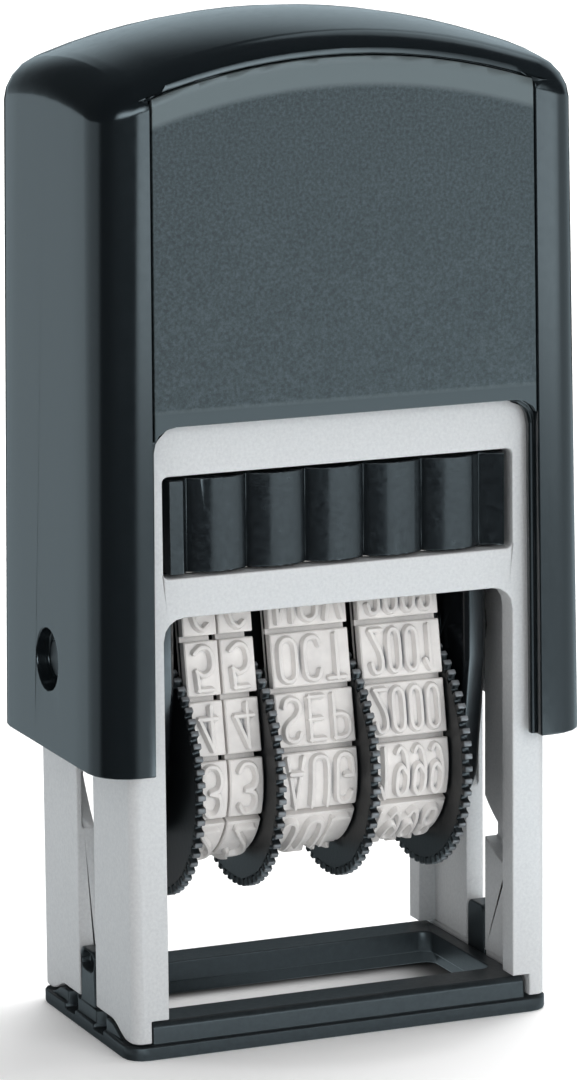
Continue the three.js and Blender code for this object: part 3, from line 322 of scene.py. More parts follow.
@dataclass(frozen=True)
class ErodedAbs:
    """Label panel of ABS from a spark-eroded mould: an even, matt dark grey grain.

    The panel's rim is smooth along the arch above the grained field and along the foot.
    """

    name: str = "spark_eroded_grey_abs"
    light: str = "#434c50"
    middle: str = "#323b3e"
    dark: str = "#252c2f"
    rim: str = "#4f5759"
    foot: str = "#30383b"
    rim_roughness: float = 0.32
    field_roughness: float = 0.62
    grain_mm: float = 0.26
    grain_depth_mm: float = 0.035
    drift_mm: float = 6.0
    drift_share: float = 0.12
    arch_peak: float = 74.9
    arch_radius: float = 50.7
    arch_blur: float = 0.25
    foot_line: float = 51.0
    foot_blur: float = 0.2

    def make(self) -> bpy.types.Material:
        """Build the material and return it."""
        material, tree, shader = new_material(self.name)
        x, _, z = object_place(tree).axes()
        arch = z + x * x / (2 * self.arch_radius * MM)
        above = arch.mapped(around(self.arch_peak, self.arch_blur), 1, 0)
        below = z.mapped(around(self.foot_line, self.foot_blur))
        field_share = above * below
        spots = grain(tree, self.grain_mm, 3.0, 0.65)
        mottle = spots + grain(tree, self.drift_mm) * self.drift_share
        colour = mottle.tinted([(0.38, self.dark), (0.56, self.middle), (0.76, self.light)])
        smooth_part = below.mix(self.foot, self.rim)
        field_share.mix(smooth_part, colour).into(shader.inputs["Base Color"])
        rough = field_share.mapped((0, 1), self.rim_roughness, self.field_roughness)
        rough.into(shader.inputs["Roughness"])
        (spots * field_share).relief(self.grain_depth_mm).into(shader.inputs["Normal"])
        return material


@dataclass(frozen=True)
class SilverAbs:
    """Silver-pigmented ABS with a satin mould surface and very fine flake."""

    name: str = "silver_pigmented_abs"
    dark: str = "#c6c8ca"
    light: str = "#d2d4d5"
    roughness: float = 0.42
    flake_mm: float = 0.25
    flake_depth_mm: float = 0.01

    def make(self) -> bpy.types.Material:
        """Build the material and return it."""
        material, tree, shader = new_material(self.name)
        flake = grain(tree, self.flake_mm, 3.0, 0.6)
        flake.dress(shader, [(0.3, self.dark), (0.7, self.light)], self.flake_depth_mm)
        shader.inputs["Roughness"].default_value = self.roughness
        return material


@dataclass(frozen=True)
class SatinAbs:
    """Black ABS from a finely stoned mould: satin, with faint lighter rub marks."""

    name: str = "satin_black_abs"
    colour: str = "#1f2427"
    rubbed: str = "#2c3235"
    roughness: float = 0.34
    grain_mm: float = 0.5
    grain_depth_mm: float = 0.012

    def make(self) -> bpy.types.Material:
        """Build the material and return it."""
        material, tree, shader = new_material(self.name)
        marks = grain(tree, self.grain_mm, 4.0, 0.7)
        marks.dress(shader, [(0.4, self.colour), (0.8, self.rubbed)], self.grain_depth_mm)
        rough = marks.mapped((0.3, 0.8), self.roughness - 0.04, self.roughness + 0.1)
        rough.into(shader.inputs["Roughness"])
        shader.inputs["IOR"].default_value = 1.52
        return material


@dataclass(frozen=True)
class WheelAbs:
    """Thumb wheel of black ABS: satin faces, with a painted highlight that lightens the teeth at their
    tips.
    """

    name: str = "thumb_wheel_abs"
    colour: str = "#111416"
    tip_highlight: str = "#8a8e92"
    roughness: float = 0.38
    axle_z: float = 20.3
    highlight_radius: float = 9.6
    full_radius: float = 9.75
    patch_mm: float = 1.4
    least_highlight: float = 0.35
    grain_mm: float = 0.4
    grain_depth_mm: float = 0.012

    def make(self) -> bpy.types.Material:
        """Build the material and return it."""
        material, tree, shader = new_material(self.name)
        _, y, z = object_place(tree).axes()
        radius = distance(y, z - self.axle_z * MM)
        # Painted highlight: the teeth are lightened beyond a radius from the axle, in random patches.
        highlight = radius.mapped((self.highlight_radius * MM, self.full_radius * MM))
        highlight_patches = grain(tree, self.patch_mm, 3.0).mapped((0.3, 0.7), self.least_highlight)
        (highlight * highlight_patches).mix(self.colour, self.tip_highlight).into(shader.inputs["Base Color"])
        shader.inputs["Roughness"].default_value = self.roughness
        surface = grain(tree, self.grain_mm, 3.0)
        surface.relief(self.grain_depth_mm).into(shader.inputs["Normal"])
        return material


@dataclass(frozen=True)
class BandRubber:
    """Moulded type rubber: off-white, matt, with faint handling marks and painted shade in the corners."""

    name: str = "ivory_type_rubber"
    light: str = "#f0edea"
    dark: str = "#e0dddb"
    corner_shade: str = "#8c8d91"
    corner_mm: float = 0.4
    corner_span: Span = (0.25, 0.7)
    roughness: float = 0.62
    bloom_mm: float = 2.2
    grain_mm: float = 0.3
    grain_depth_mm: float = 0.012

    def make(self) -> bpy.types.Material:
        """Build the material and return it."""
        material, tree, shader = new_material(self.name)
        unshaded = grain(tree, self.bloom_mm, 4.0, 0.6).tinted([(0.3, self.dark), (0.68, self.light)])
        # Painted shade: an ambient-occlusion node darkens the rubber in corners and at the foot of each
        # stroke.
        settings = {"samples": 6, "only_local": True, "Distance": self.corner_mm * MM}
        corners = add_node(tree, "ShaderNodeAmbientOcclusion", settings).outputs["AO"]
        share = Signal(tree, corners).mapped(self.corner_span)
        share.mix(self.corner_shade, unshaded).into(shader.inputs["Base Color"])
        shader.inputs["Roughness"].default_value = self.roughness
        grain(tree, self.grain_mm).relief(self.grain_depth_mm).into(shader.inputs["Normal"])
        return material


@dataclass(frozen=True)
class Steel:
    """Steel wire or pin: drawn or ground, so bright with fine marks all over."""

    name: str
    colour: str = "#b6babd"
    roughness: float = 0.28
    mark_mm: float = 0.2
    mark_depth_mm: float = 0.01

    def make(self) -> bpy.types.Material:
        """Build the material and return it."""
        material, tree, shader = new_material(self.name)
        shader.inputs["Base Color"].default_value = linear(self.colour)
        shader.inputs["Metallic"].default_value = 1.0
        marks = grain(tree, self.mark_mm, 3.0, 0.7)
        rough = marks.mapped((0.3, 0.7), self.roughness - 0.06, self.roughness + 0.1)
        rough.into(shader.inputs["Roughness"])
        marks.relief(self.mark_depth_mm).into(shader.inputs["Normal"])
        return material


@dataclass(frozen=True)
class InkedFelt:
    """Wool felt soaked with black ink: a dense nap, nearly black with a violet cast."""

    name: str = "inked_wool_felt"
    dark: str = "#101118"
    light: str = "#242636"
    fibre_mm: float = 0.35
    nap_depth_mm: float = 0.12

    def make(self) -> bpy.types.Material:
        """Build the material and return it."""
        material, tree, shader = new_material(self.name)
        nap = grain(tree, self.fibre_mm, 5.0, 0.75)
        nap.dress(shader, [(0.35, self.dark), (0.7, self.light)], self.nap_depth_mm)
        shader.inputs["Roughness"].default_value = 0.85
        shader.inputs["Sheen Weight"].default_value = 0.25
        return material


@dataclass(frozen=True)
class CushionRubber:
    """Sponge rubber strip behind the type: dark, matt, with fine open cells."""

    name: str = "sponge_rubber"
    dark: str = "#2c2a29"
    light: str = "#484542"
    cell_mm: float = 0.3
    cell_depth_mm: float = 0.05

    def make(self) -> bpy.types.Material:
        """Build the material and return it."""
        material, tree, shader = new_material(self.name)
        scale = {"Scale": 1 / (self.cell_mm * MM)}
        voronoi = add_node(tree, "ShaderNodeTexVoronoi", scale, {"Vector": object_place(tree)})
        cells = Signal(tree, voronoi.outputs["Distance"])
        cells.dress(shader, [(0.1, self.dark), (0.6, self.light)], self.cell_depth_mm)
        shader.inputs["Roughness"].default_value = 0.9
        return material


class Finish(Enum):
    """The finishes on the stamp, each made once."""

    CAP = PolishedAbs()
    CARRIAGE = PolishedAbs(name="polished_carriage_abs", colour="#14171a", roughness=0.2)
    PANEL = ErodedAbs()
    SILVER = SilverAbs()
    FOOT = SatinAbs()
    CARTRIDGE = SatinAbs("satin_cartridge_abs", "#15191c", "#1d2225", 0.2)
    PIVOT = SatinAbs(name="satin_pin_abs", colour="#1b1f22", rubbed="#2b3033")
    WHEEL = WheelAbs()
    BAND = BandRubber()
    SPRING = Steel(name="drawn_spring_steel")
    PIN = Steel(name="ground_pin_steel", colour="#a7abae", roughness=0.22)
    FELT = InkedFelt()
    CUSHION = CushionRubber()

    def material(self) -> bpy.types.Material:
        """Return this finish's material, made on its first use."""
        found = bpy.data.materials.get(self.value.name)
        return found or self.value.make()


# Meshes


def mesh_object(
    name: str, points: Iterable[Sequence[float]], faces: Iterable[Sequence[int]]
) -> bpy.types.Object:
    """Make a mesh object from points in millimetres.

    Args:
        name: The object's name.
        points: The vertices.
        faces: Vertex numbers of each face, seen from outside counter-clockwise.

    Returns:
        The object, linked to the scene.
    """
    mesh = bpy.data.meshes.new(name)
    mesh.from_pydata([tuple(c * MM for c in p) for p in points], [], [tuple(f) for f in faces])
    mesh.update()
    piece = bpy.data.objects.new(name, mesh)
    bpy.context.scene.collection.objects.link(piece)
    return piece


def smooth_by_angle(mesh: bpy.types.Mesh, degrees: float) -> None:
    """Shade a mesh smooth, with edges sharper than an angle kept hard."""
    mesh.shade_smooth()
    mesh.set_sharp_from_angle(angle=math.radians(degrees))


def face_outwards(piece: bpy.types.Object, crease: float) -> None:
    """Turn a closed piece's faces outwards and shade it smooth.

    Args:
        piece: The piece.
        crease: Edges sharper than this angle stay hard.
    """
    shape = bmesh.new()
    shape.from_mesh(piece.data)
    bmesh.ops.recalc_face_normals(shape, faces=shape.faces)
    shape.to_mesh(piece.data)
    shape.free()
    smooth_by_angle(piece.data, crease)


def settle(piece: bpy.types.Object) -> None:
    """Replace a piece's mesh by what its modifiers make of it, and drop them.

    Args:
        piece: The piece.
    """
    bpy.context.view_layer.update()
    depsgraph = bpy.context.evaluated_depsgraph_get()
    made = bpy.data.meshes.new_from_object(piece.evaluated_get(depsgraph))
    made.name = piece.name
    piece.modifiers.clear()
    piece.data = made


def keep_flat(piece: bpy.types.Object) -> None:
    """Weigh normals by area, so that flat faces stay flat beside rounded edges.

    Args:
        piece: The piece.
    """
    normals = piece.modifiers.new("flat faces stay flat", "WEIGHTED_NORMAL")
    normals.mode = "FACE_AREA"
    normals.weight = 80
    normals.keep_sharp = True


def fit(piece: bpy.types.Object, node: str, body: str, finish: Finish) -> None:
    """Give a piece its finish and set it in place of its CAD node.

    Args:
        piece: The piece.
        node: The CAD node that it replaces.
        body: The body that it moves with.
        finish: What it is made of.
    """
    piece.data.materials.append(finish.material())
    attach(piece, body)
    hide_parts(node)
    LOG.info("%s: %d faces", piece.name, len(piece.data.polygons))


@dataclass
class Moulding:
    """A CAD node's copy with the small rounded edges that a moulded piece has."""

    node: str
    body: str
    finish: Finish
    slot: str
    edge: float
    steps: int = 2
    crease: float = 32.0
    rounded_crease: float = 60.0
    weld: float = 0.002
    reshape: Callable[[bmesh.types.BMesh], None] | None = None

    def build(self) -> None:
        """Make the piece, dress it and set it in place of its node."""
        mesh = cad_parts[self.node].data.copy()
        mesh.materials.clear()
        shape = bmesh.new()
        shape.from_mesh(mesh)
        bmesh.ops.remove_doubles(shape, verts=shape.verts, dist=self.weld * MM)
        if self.reshape:
            self.reshape(shape)
        shape.to_mesh(mesh)
        shape.free()
        if "custom_normal" in mesh.attributes:
            mesh.attributes.remove(mesh.attributes["custom_normal"])
        piece = bpy.data.objects.new(f"{self.node}_moulding", mesh)
        bpy.context.scene.collection.objects.link(piece)
        smooth_by_angle(mesh, self.crease)
        bevel = piece.modifiers.new("rounded edges", "BEVEL")
        bevel.width = self.edge * MM
        bevel.segments = self.steps
        bevel.limit_method = "ANGLE"
        bevel.angle_limit = math.radians(self.crease)
        bevel.use_clamp_overlap = False
        bevel.miter_outer = "MITER_ARC"
        bevel.harden_normals = False
        keep_flat(piece)
        settle(piece)
        smooth_by_angle(piece.data, self.rounded_crease)
        keep_flat(piece)
        settle(piece)
        fit(piece, self.node, self.body, self.finish)


# Type on the bands

# Strokes of each character, in hundredths of a cell's width and height, with a slash between
# strokes. A stroke that ends where it starts is closed. Bends between the points are rounded.
OVAL = "50,100 93,88 100,50 93,12 50,0 7,12 0,50 7,88 50,100"
CHARACTERS: dict[str, str] = {
    "0": OVAL,
    "1": "18,80 52,100/55,100 55,50 55,0",
    "2": "2,80 18,96 50,100 88,93 98,73 82,50 40,24 6,2/6,0 98,0",
    "3": "4,86 30,99 72,98 95,80 85,60 42,53/42,53 86,46 100,25 78,3 30,0 2,14",
    "4": "68,0 68,50 68,100/68,100 2,28/2,27 100,27",
    "5": "92,100 14,100/14,100 8,56/8,56 45,66 88,56 100,32 84,6 40,0 2,12",
    "6": "90,90 60,100 20,86 2,45 8,12 50,0 92,10 100,34 86,54 50,60 10,46",
    "7": "2,100 98,100/98,100 60,50 40,0",
    "8": "50,100 86,94 92,76 76,58 50,53 24,58 8,76 14,94 50,100"
         "/50,53 86,46 100,26 88,5 50,0 12,5 0,26 14,46 50,53",
    "9": "10,10 40,0 80,14 98,55 92,88 50,100 8,90 0,66 14,46 50,40 90,54",
    "A": "0,0 50,100/50,100 100,0/18,32 82,32",
    "B": "4,0 4,100/4,100 60,100 90,78 60,54 4,54/50,54 96,40 96,12 60,0 4,0",
    "C": "98,80 85,95 50,100 10,90 0,50 10,10 50,0 85,5 98,20",
    "D": "4,0 4,100/4,100 50,100 92,85 100,50 92,15 50,0 4,0",
    "E": "6,0 6,100/6,100 94,100/6,52 80,52/6,0 94,0",
    "F": "6,0 6,100/6,100 94,100/6,52 80,52",
    "G": "96,82 82,96 50,100 10,90 0,50 10,10 50,0 88,6 100,20 100,42/100,44 58,44",
    "J": "86,100 86,50 84,12 50,0 12,6 2,24",
    "L": "6,100 6,0/6,0 94,0",
    "M": "0,0 0,100/0,100 50,30/50,30 100,100/100,100 100,0",
    "N": "4,0 4,100/4,100 96,0/96,0 96,100",
    "O": OVAL,
    "P": "6,0 6,100/6,100 60,100 95,88 95,58 60,46 6,46",
    "R": "6,0 6,100/6,100 60,100 95,88 95,60 60,48 6,48/55,48 98,0",
    "S": "94,84 80,96 45,100 10,92 4,72 30,56 72,44 98,26 90,8 50,0 16,4 2,18",
    "T": "0,100 100,100/50,100 50,0",
    "U": "2,100 2,40 10,8 50,0 90,8 98,40 98,100",
    "V": "0,100 50,0/50,0 100,100",
    "Y": "0,100 50,48/100,100 50,48/50,48 50,0",
}


def strokes(character: str) -> list[list[tuple[float, float]]]:
    """Return a character's strokes as points on a cell one wide and one high."""
    return [
        [tuple(int(part) / 100 for part in point.split(",")) for point in stroke.split()]
        for stroke in CHARACTERS[character].split("/")
    ]


def rounded(points: Sequence[tuple[float, float]], steps: int) -> list[Vector]:
    """Run a smooth line through points.

    Args:
        points: The points; the line is closed where the last is the first.
        steps: Number of steps between two points.

    Returns:
        The line's points, without a repeat at the end of a closed one.
    """
    if len(points) == 2:
        return [Vector(points[0]), Vector(points[1])]
    closed = points[0] == points[-1]
    line = [Vector(p) for p in (points[:-1] if closed else points)]
    count = len(line)
    spans = count if closed else count - 1
    result = []
    for span in range(spans):
        if closed:
            a, b, c, d = (line[(span + k) % count] for k in (-1, 0, 1, 2))
        else:
            b, c = line[span], line[span + 1]
            a = line[span - 1] if span else 2 * b - c
            d = line[span + 2] if span + 2 < count else 2 * c - b
        for step in range(steps):
            t = step / steps
            result.append(
                0.5 * (2 * b + (c - a) * t + (2 * a - 5 * b + 4 * c - d) * t**2
                       + (3 * b - a - 3 * c + d) * t**3)
            )
    if not closed:
        result.append(line[-1])
    return result


@dataclass
class BandPath:
    """Closed path of a date band seen from the side, as the CAD lays it round nose and drum."""

    belt_top: float = 41.15
    axle_z: float = 20.3
    nose_half: float = 2.6
    nose_round: float = 1.2
    drum_radius: float = 6.1
    rows: int = 14
    nose_y: float = field(init=False)
    nose_z: float = field(init=False)
    lean: float = field(init=False)
    run: float = field(init=False)
    nose_arc: float = field(init=False)
    pitch: float = field(init=False)

    def __post_init__(self) -> None:
        """Work out the tangent runs between the nose and the drum."""
        self.nose_y = self.nose_half - self.nose_round
        self.nose_z = self.belt_top - self.nose_round
        rise = self.nose_z - self.axle_z
        span = math.hypot(self.nose_y, rise)
        spread = math.asin((self.drum_radius - self.nose_round) / span)
        self.lean = spread - math.atan2(self.nose_y, rise)
        self.run = span * math.cos(spread)
        self.nose_arc = self.nose_round * (math.pi / 2 - self.lean)
        half = self.nose_y + self.nose_arc + self.run + self.drum_radius * (math.pi / 2 + self.lean)
        self.pitch = 2 * half / self.rows

    def at(self, distance: float, out: float) -> tuple[float, float]:
        """Find a point beside the belt.

        Args:
            distance: Along the belt from the middle of its top, positive to the front.
            out: Outwards from the belt's outer face.

        Returns:
            The point's Y and Z.
        """
        side = 1.0 if distance < 0 else -1.0
        left = abs(distance)
        if left <= self.nose_y:
            return side * left, self.belt_top + out
        left -= self.nose_y
        radius = self.nose_round + out
        if left <= self.nose_arc:
            angle = math.pi / 2 - left / self.nose_round
            return side * (self.nose_y + radius * math.cos(angle)), self.nose_z + radius * math.sin(angle)
        left -= self.nose_arc
        if left <= self.run:
            y = self.nose_y + radius * math.cos(self.lean) + left * math.sin(self.lean)
            return side * y, self.nose_z + radius * math.sin(self.lean) - left * math.cos(self.lean)
        angle = self.lean - (left - self.run) / self.drum_radius
        radius = self.drum_radius + out
        return side * radius * math.cos(angle), self.axle_z + radius * math.sin(angle)

    def row_centre(self, row: int) -> float:
        """Return where a row's middle lies along the belt; row 0 is the one that prints."""
        return (row - self.rows if row > self.rows / 2 else row) * self.pitch


@dataclass
class MeshDraft:
    """Points and faces of a mesh while it grows."""

    points: list[Point] = field(default_factory=list)
    faces: list[tuple[int, ...]] = field(default_factory=list)

    def tube(self, rings: Sequence[Sequence[Point]], closed: bool) -> None:
        """Join rings of equal length into a tube.

        Args:
            rings: The rings, each in the same turning sense.
            closed: Whether the last ring joins the first; if not, both ends are capped.
        """
        start = len(self.points)
        count = len(rings[0])
        for ring in rings:
            self.points.extend(ring)
        spans = len(rings) if closed else len(rings) - 1
        for ring in range(spans):
            low = start + ring * count
            high = start + ((ring + 1) % len(rings)) * count
            for place in range(count):
                after = (place + 1) % count
                self.faces.append((low + place, low + after, high + after, high + place))
        if not closed:
            last = start + (len(rings) - 1) * count
            self.faces.append(tuple(start + k for k in reversed(range(count))))
            self.faces.append(tuple(last + k for k in range(count)))


@dataclass
class TypeStyle:
    """Cut of the raised characters: condensed, with rounded strokes."""

    height: float = 3.35
    relief: float = 0.45
    root: float = 0.12
    top_half: float = 0.17
    base_half: float = 0.33
    flat_share: float = 0.6
    shoulder_share: float = 0.8
    end_length: float = 1.3
    end_turns: tuple[float, ...] = (0.5, 1.0, 1.35)
    bend_steps: int = 3
    crossing_lift: float = 0.008


@dataclass
class DateBand:
    """A band of type rubber with one text to a row, which goes round its wheel's drum."""

    unit: str
    texts: list[str]
    character_width: float
    character_step: float
    inset: float = 0.0
    belt_thickness: float = 0.7
    pad_thickness: float = 0.9
    pad_spacing: float = 0.45
    pad_edge: float = 0.1
    pad_steps: int = 10
    belt_steps: int = 12
    crease: float = 38.0
    path: BandPath = field(default_factory=BandPath)
    style: TypeStyle = field(default_factory=TypeStyle)

    def span(self) -> tuple[float, float]:
        """Return the band's left and right ends in X."""
        low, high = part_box(f"{self.unit}_band")
        return low.x / MM, high.x / MM

    def belt(self, draft: MeshDraft) -> None:
        """Add the belt, a closed strip inside the pads.

        Args:
            draft: The mesh that gets it.
        """
        left, right = self.span()
        right -= self.inset
        steps = self.path.rows * self.belt_steps
        rings = []
        for step in range(steps):
            distance = (step / steps - 0.5) * self.path.rows * self.path.pitch
            inner = self.path.at(distance, -self.belt_thickness)
            outer = self.path.at(distance, 0.0)
            rings.append([(left, *inner), (left, *outer), (right, *outer), (right, *inner)])
        draft.tube(rings, closed=True)

    def pad(self, draft: MeshDraft, row: int) -> None:
        """Add the block that carries one row's text.

        Args:
            draft: The mesh that gets it.
            row: Number of the row.
        """
        left, right = self.span()
        half = (self.path.pitch - self.pad_spacing) / 2
        centre = self.path.row_centre(row)
        edge = self.pad_edge
        top = self.pad_thickness
        flat = 2 * half - 2 * edge
        stops = [(-half, edge), (-half + edge, 0.0)]
        stops += [(-half + edge + flat * k / self.pad_steps, 0.0) for k in range(1, self.pad_steps)]
        stops += [(half - edge, 0.0), (half, edge)]
        rings = []
        for along, drop in stops:
            corners = [(left, -self.belt_thickness / 2), (left, top - edge - drop)]
            corners += [(left + edge, top - drop), (right - edge, top - drop)]
            corners += [(right, top - edge - drop), (right, -self.belt_thickness / 2)]
            rings.append([(x, *self.path.at(centre + along, out)) for x, out in corners])
        draft.tube(rings, closed=False)

    def stroke(self, draft: MeshDraft, line: Sequence[Vector], closed: bool, centre: float,
               lift: float) -> None:
        """Add one raised stroke.

        Args:
            draft: The mesh that gets it.
            line: Points in X and along the band, in millimetres from the row's middle.
            closed: Whether the stroke ends where it starts.
            centre: The row's middle along the band.
            lift: A little height that keeps crossing strokes apart.
        """
        style = self.style
        sections: list[tuple[Vector, Vector, float]] = []
        count = len(line)
        for place, point in enumerate(line):
            before = line[(place - 1) % count] if closed or place else point
            after = line[(place + 1) % count] if closed or place + 1 < count else point
            sections.append((point, (after - before).normalized(), 1.0))
        if not closed:
            head, tail = sections[0], sections[-1]
            sections = [
                (head[0] - head[1] * style.top_half * math.sin(t) * style.end_length, head[1], math.cos(t))
                for t in reversed(style.end_turns)
            ] + sections + [
                (tail[0] + tail[1] * style.top_half * math.sin(t) * style.end_length, tail[1], math.cos(t))
                for t in style.end_turns
            ]
        flat, shoulder = style.top_half * style.flat_share, style.relief * style.shoulder_share
        profile = [
            (-style.base_half, -style.root), (-style.top_half, shoulder), (-flat, style.relief),
            (flat, style.relief), (style.top_half, shoulder), (style.base_half, -style.root),
        ]
        rings = []
        for point, heading, share in sections:
            across = Vector((heading.y, -heading.x))
            ring = []
            for offset, height in profile:
                spot = point + across * offset * share
                out = self.pad_thickness + height + (lift if height > 0 else 0.0)
                ring.append((spot.x, *self.path.at(centre + spot.y, out)))
            rings.append(ring)
        draft.tube(rings, closed)

    def text(self, draft: MeshDraft, row: int) -> None:
        """Add a row's characters, mirrored as type is.

        Args:
            draft: The mesh that gets them.
            row: Number of the row.
        """
        text = self.texts[row]
        left, right = self.span()
        middle = (left + right) / 2
        centre = self.path.row_centre(row)
        height = self.style.height
        for place, character in enumerate(text):
            origin = middle + (place - (len(text) - 1) / 2) * self.character_step
            for number, points in enumerate(strokes(character)):
                line = [
                    Vector((origin + (p.x - 0.5) * self.character_width, (p.y - 0.5) * height))
                    for p in rounded(points, self.style.bend_steps)
                ]
                lift = self.style.crossing_lift * number
                self.stroke(draft, line, points[0] == points[-1], centre, lift)

    def build(self) -> None:
        """Make the band with its pads and type, and set it in place of its node."""
        node = f"{self.unit}_band"
        draft = MeshDraft()
        self.belt(draft)
        for row in range(self.path.rows):
            self.pad(draft, row)
            self.text(draft, row)
        piece = mesh_object(f"{node}_with_type", draft.points, draft.faces)
        face_outwards(piece, self.crease)
        fit(piece, node, "carriage", Finish.BAND)


# Sub-assemblies


@dataclass
class Cap:
    """The pressed cap: a gloss hood with a grained label panel on the front and on the back."""

    edge: float = 0.14
    panel_edge: float = 0.05
    lip_round: float = 0.6
    lip_steps: int = 5
    lip_low: float = 74.0
    lip_out: float = 11.3
    lip_angle: float = 60.0
    facing_down: float = -0.8

    def is_lip(self, edge: bmesh.types.BMEdge) -> bool:
        """Tell whether an edge of the hood is on the crown's lip over a panel."""
        ends = [vertex.co / MM for vertex in edge.verts]
        return (
            all(end.z > self.lip_low and abs(end.y) > self.lip_out for end in ends)
            and len(edge.link_faces) == 2
            and edge.calc_face_angle(0.0) > math.radians(self.lip_angle)
            and any(face.normal.z < self.facing_down for face in edge.link_faces)
        )

    def lip(self, shape: bmesh.types.BMesh) -> None:
        """Round the crown's lip over both panels.

        Args:
            shape: The hood's mesh, in metres.
        """
        rim = [edge for edge in shape.edges if self.is_lip(edge)]
        size = self.lip_round * MM
        bmesh.ops.bevel(shape, geom=rim, offset=size, segments=self.lip_steps, profile=0.5, affect="EDGES")

    def build(self) -> None:
        """Make the hood and both panels."""
        Moulding("cap_shell", "cap", Finish.CAP, "cap_plastic", self.edge, reshape=self.lip).build()
        for side in ("front", "rear"):
            Moulding(f"{side}_panel", "cap", Finish.PANEL, "panel_plastic", self.panel_edge).build()


@dataclass
class ReturnSpring:
    """Helical spring of drawn wire between the frame's deck and the cap's ceiling."""

    wire_radius: float = 0.45
    turns: int = 6
    steps_per_turn: int = 32
    wire_sides: int = 12
    stroke: float = 17.9
    fixed_end: float = 50.75
    crease: float = 50.0

    def build(self) -> None:
        """Make the spring."""
        low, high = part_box("return_spring")
        end = high.z / MM
        coil = high.x / MM - self.wire_radius
        bottom, top = low.z / MM + self.wire_radius, end - self.wire_radius
        steps = self.turns * self.steps_per_turn
        rings = []
        for step in range(steps + 1):
            angle = 2 * math.pi * step / self.steps_per_turn
            z = bottom + (top - bottom) * step / steps
            ring = []
            for side in range(self.wire_sides):
                turn = 2 * math.pi * side / self.wire_sides
                radius = coil + self.wire_radius * math.cos(turn)
                height = z + self.wire_radius * math.sin(turn)
                ring.append((radius * math.cos(angle), radius * math.sin(angle), height))
            rings.append(ring)
        draft = MeshDraft()
        draft.tube(rings, closed=False)
        piece = mesh_object("return_spring_wire", draft.points, draft.faces)
        face_outwards(piece, self.crease)
        fit(piece, "return_spring", "frame", Finish.SPRING)
        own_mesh(piece)


@dataclass
class SoftStrip:
    """A soft block with rounded edges and a slightly swollen face."""

    node: str
    body: str
    finish: Finish
    slot: str
    edge: float
    swell: float
    face_up: bool
    fill: float
    columns: int = 24
    rows: int = 10
    crease: float = 50.0

    def face(self) -> tuple[list[Point], float]:
        """Work out the swollen face inside the node's box.

        Returns:
            The face's points row by row, and the height of the flat back.
        """
        low, high = (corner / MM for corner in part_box(self.node))
        front, back = (high.z, low.z) if self.face_up else (low.z, high.z)
        sign = 1.0 if self.face_up else -1.0
        points: list[Point] = []
        for row in range(self.rows + 1):
            for column in range(self.columns + 1):
                u, v = column / self.columns, row / self.rows
                x = low.x + (high.x - low.x) * u
                y = low.y + (high.y - low.y) * v
                near = min(x - low.x, high.x - x, y - low.y, high.y - y)
                dip = self.edge * (1 - min(near / self.edge, 1.0)) ** 2
                crown = 16 * u * (1 - u) * v * (1 - v)
                points.append((x, y, front - sign * (self.swell * (1 - crown) + dip)))
        return points, back

    def build(self) -> None:
        """Make the block inside its node's box and set it in place."""
        points, back = self.face()
        count = len(points)
        points += [(x, y, back) for x, y, _ in points]
        faces: list[tuple[int, ...]] = []
        width = self.columns + 1
        for row in range(self.rows):
            for column in range(self.columns):
                a = row * width + column
                quad = (a, a + 1, a + width + 1, a + width)
                faces.append(quad)
                faces.append(tuple(k + count for k in reversed(quad)))
        rim = list(range(width))
        rim += [row * width + self.columns for row in range(1, self.rows + 1)]
        rim += [self.rows * width + column for column in range(self.columns - 1, -1, -1)]
        rim += [row * width for row in range(self.rows - 1, 0, -1)]
        for a, b in zip(rim, rim[1:] + rim[:1]):
            faces.append((a, a + count, b + count, b))
        piece = mesh_object(f"{self.node}_soft", points, faces)
        face_outwards(piece, self.crease)
        fit(piece, self.node, self.body, self.finish)


@dataclass
class CartridgeRibs:
    """Convex finger ribs on both ends of the ink cartridge, in place of the CAD's hollows."""

    pitch: float = 4.9
    count: int = 5
    depth: float = 1.05
    fullness: float = 0.55
    steps: int = 16
    land: float = 1.1
    tolerance: float = 0.01
    depth_tolerance: float = 0.1
    cut_tolerance: float = 0.005

    def cut(self, shape: bmesh.types.BMesh, x: float) -> None:
        """Run an edge round the tray at one X.

        Args:
            shape: The tray's mesh, in metres.
            x: Where the edge runs.
        """
        every = list(shape.verts) + list(shape.edges) + list(shape.faces)
        near = self.cut_tolerance * MM
        bmesh.ops.bisect_plane(shape, geom=every, dist=near, plane_co=(x * MM, 0, 0), plane_no=(1, 0, 0))

    def form(self, shape: bmesh.types.BMesh) -> None:
        """Turn the hollows into ribs.

        Args:
            shape: The tray's mesh, in metres.
        """
        half_row = self.pitch * self.count / 2
        half_width, face = (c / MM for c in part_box("ink_cartridge")[1][:2])
        inner = half_width - self.land
        for step in range(self.count * self.steps + 1):
            self.cut(shape, -half_row + step * self.pitch / self.steps)
        self.cut(shape, inner)
        self.cut(shape, -inner)
        for vertex in shape.verts:
            x, y = vertex.co.x / MM, vertex.co.y / MM
            if abs(y) < face - self.depth - self.depth_tolerance:
                continue
            side = 1.0 if y > 0 else -1.0
            along = -x * side
            if abs(x) <= half_row + self.tolerance:
                part = ((x + half_row) / self.pitch) % 1.0
                rise = abs(math.sin(math.pi * part)) ** self.fullness
            elif along < 0:
                rise = 1.0 if -along >= inner - self.tolerance else 0.0
            else:
                rise = (along - half_row) / (half_width - half_row)
            vertex.co.y = side * (face - self.depth * (1.0 - rise)) * MM


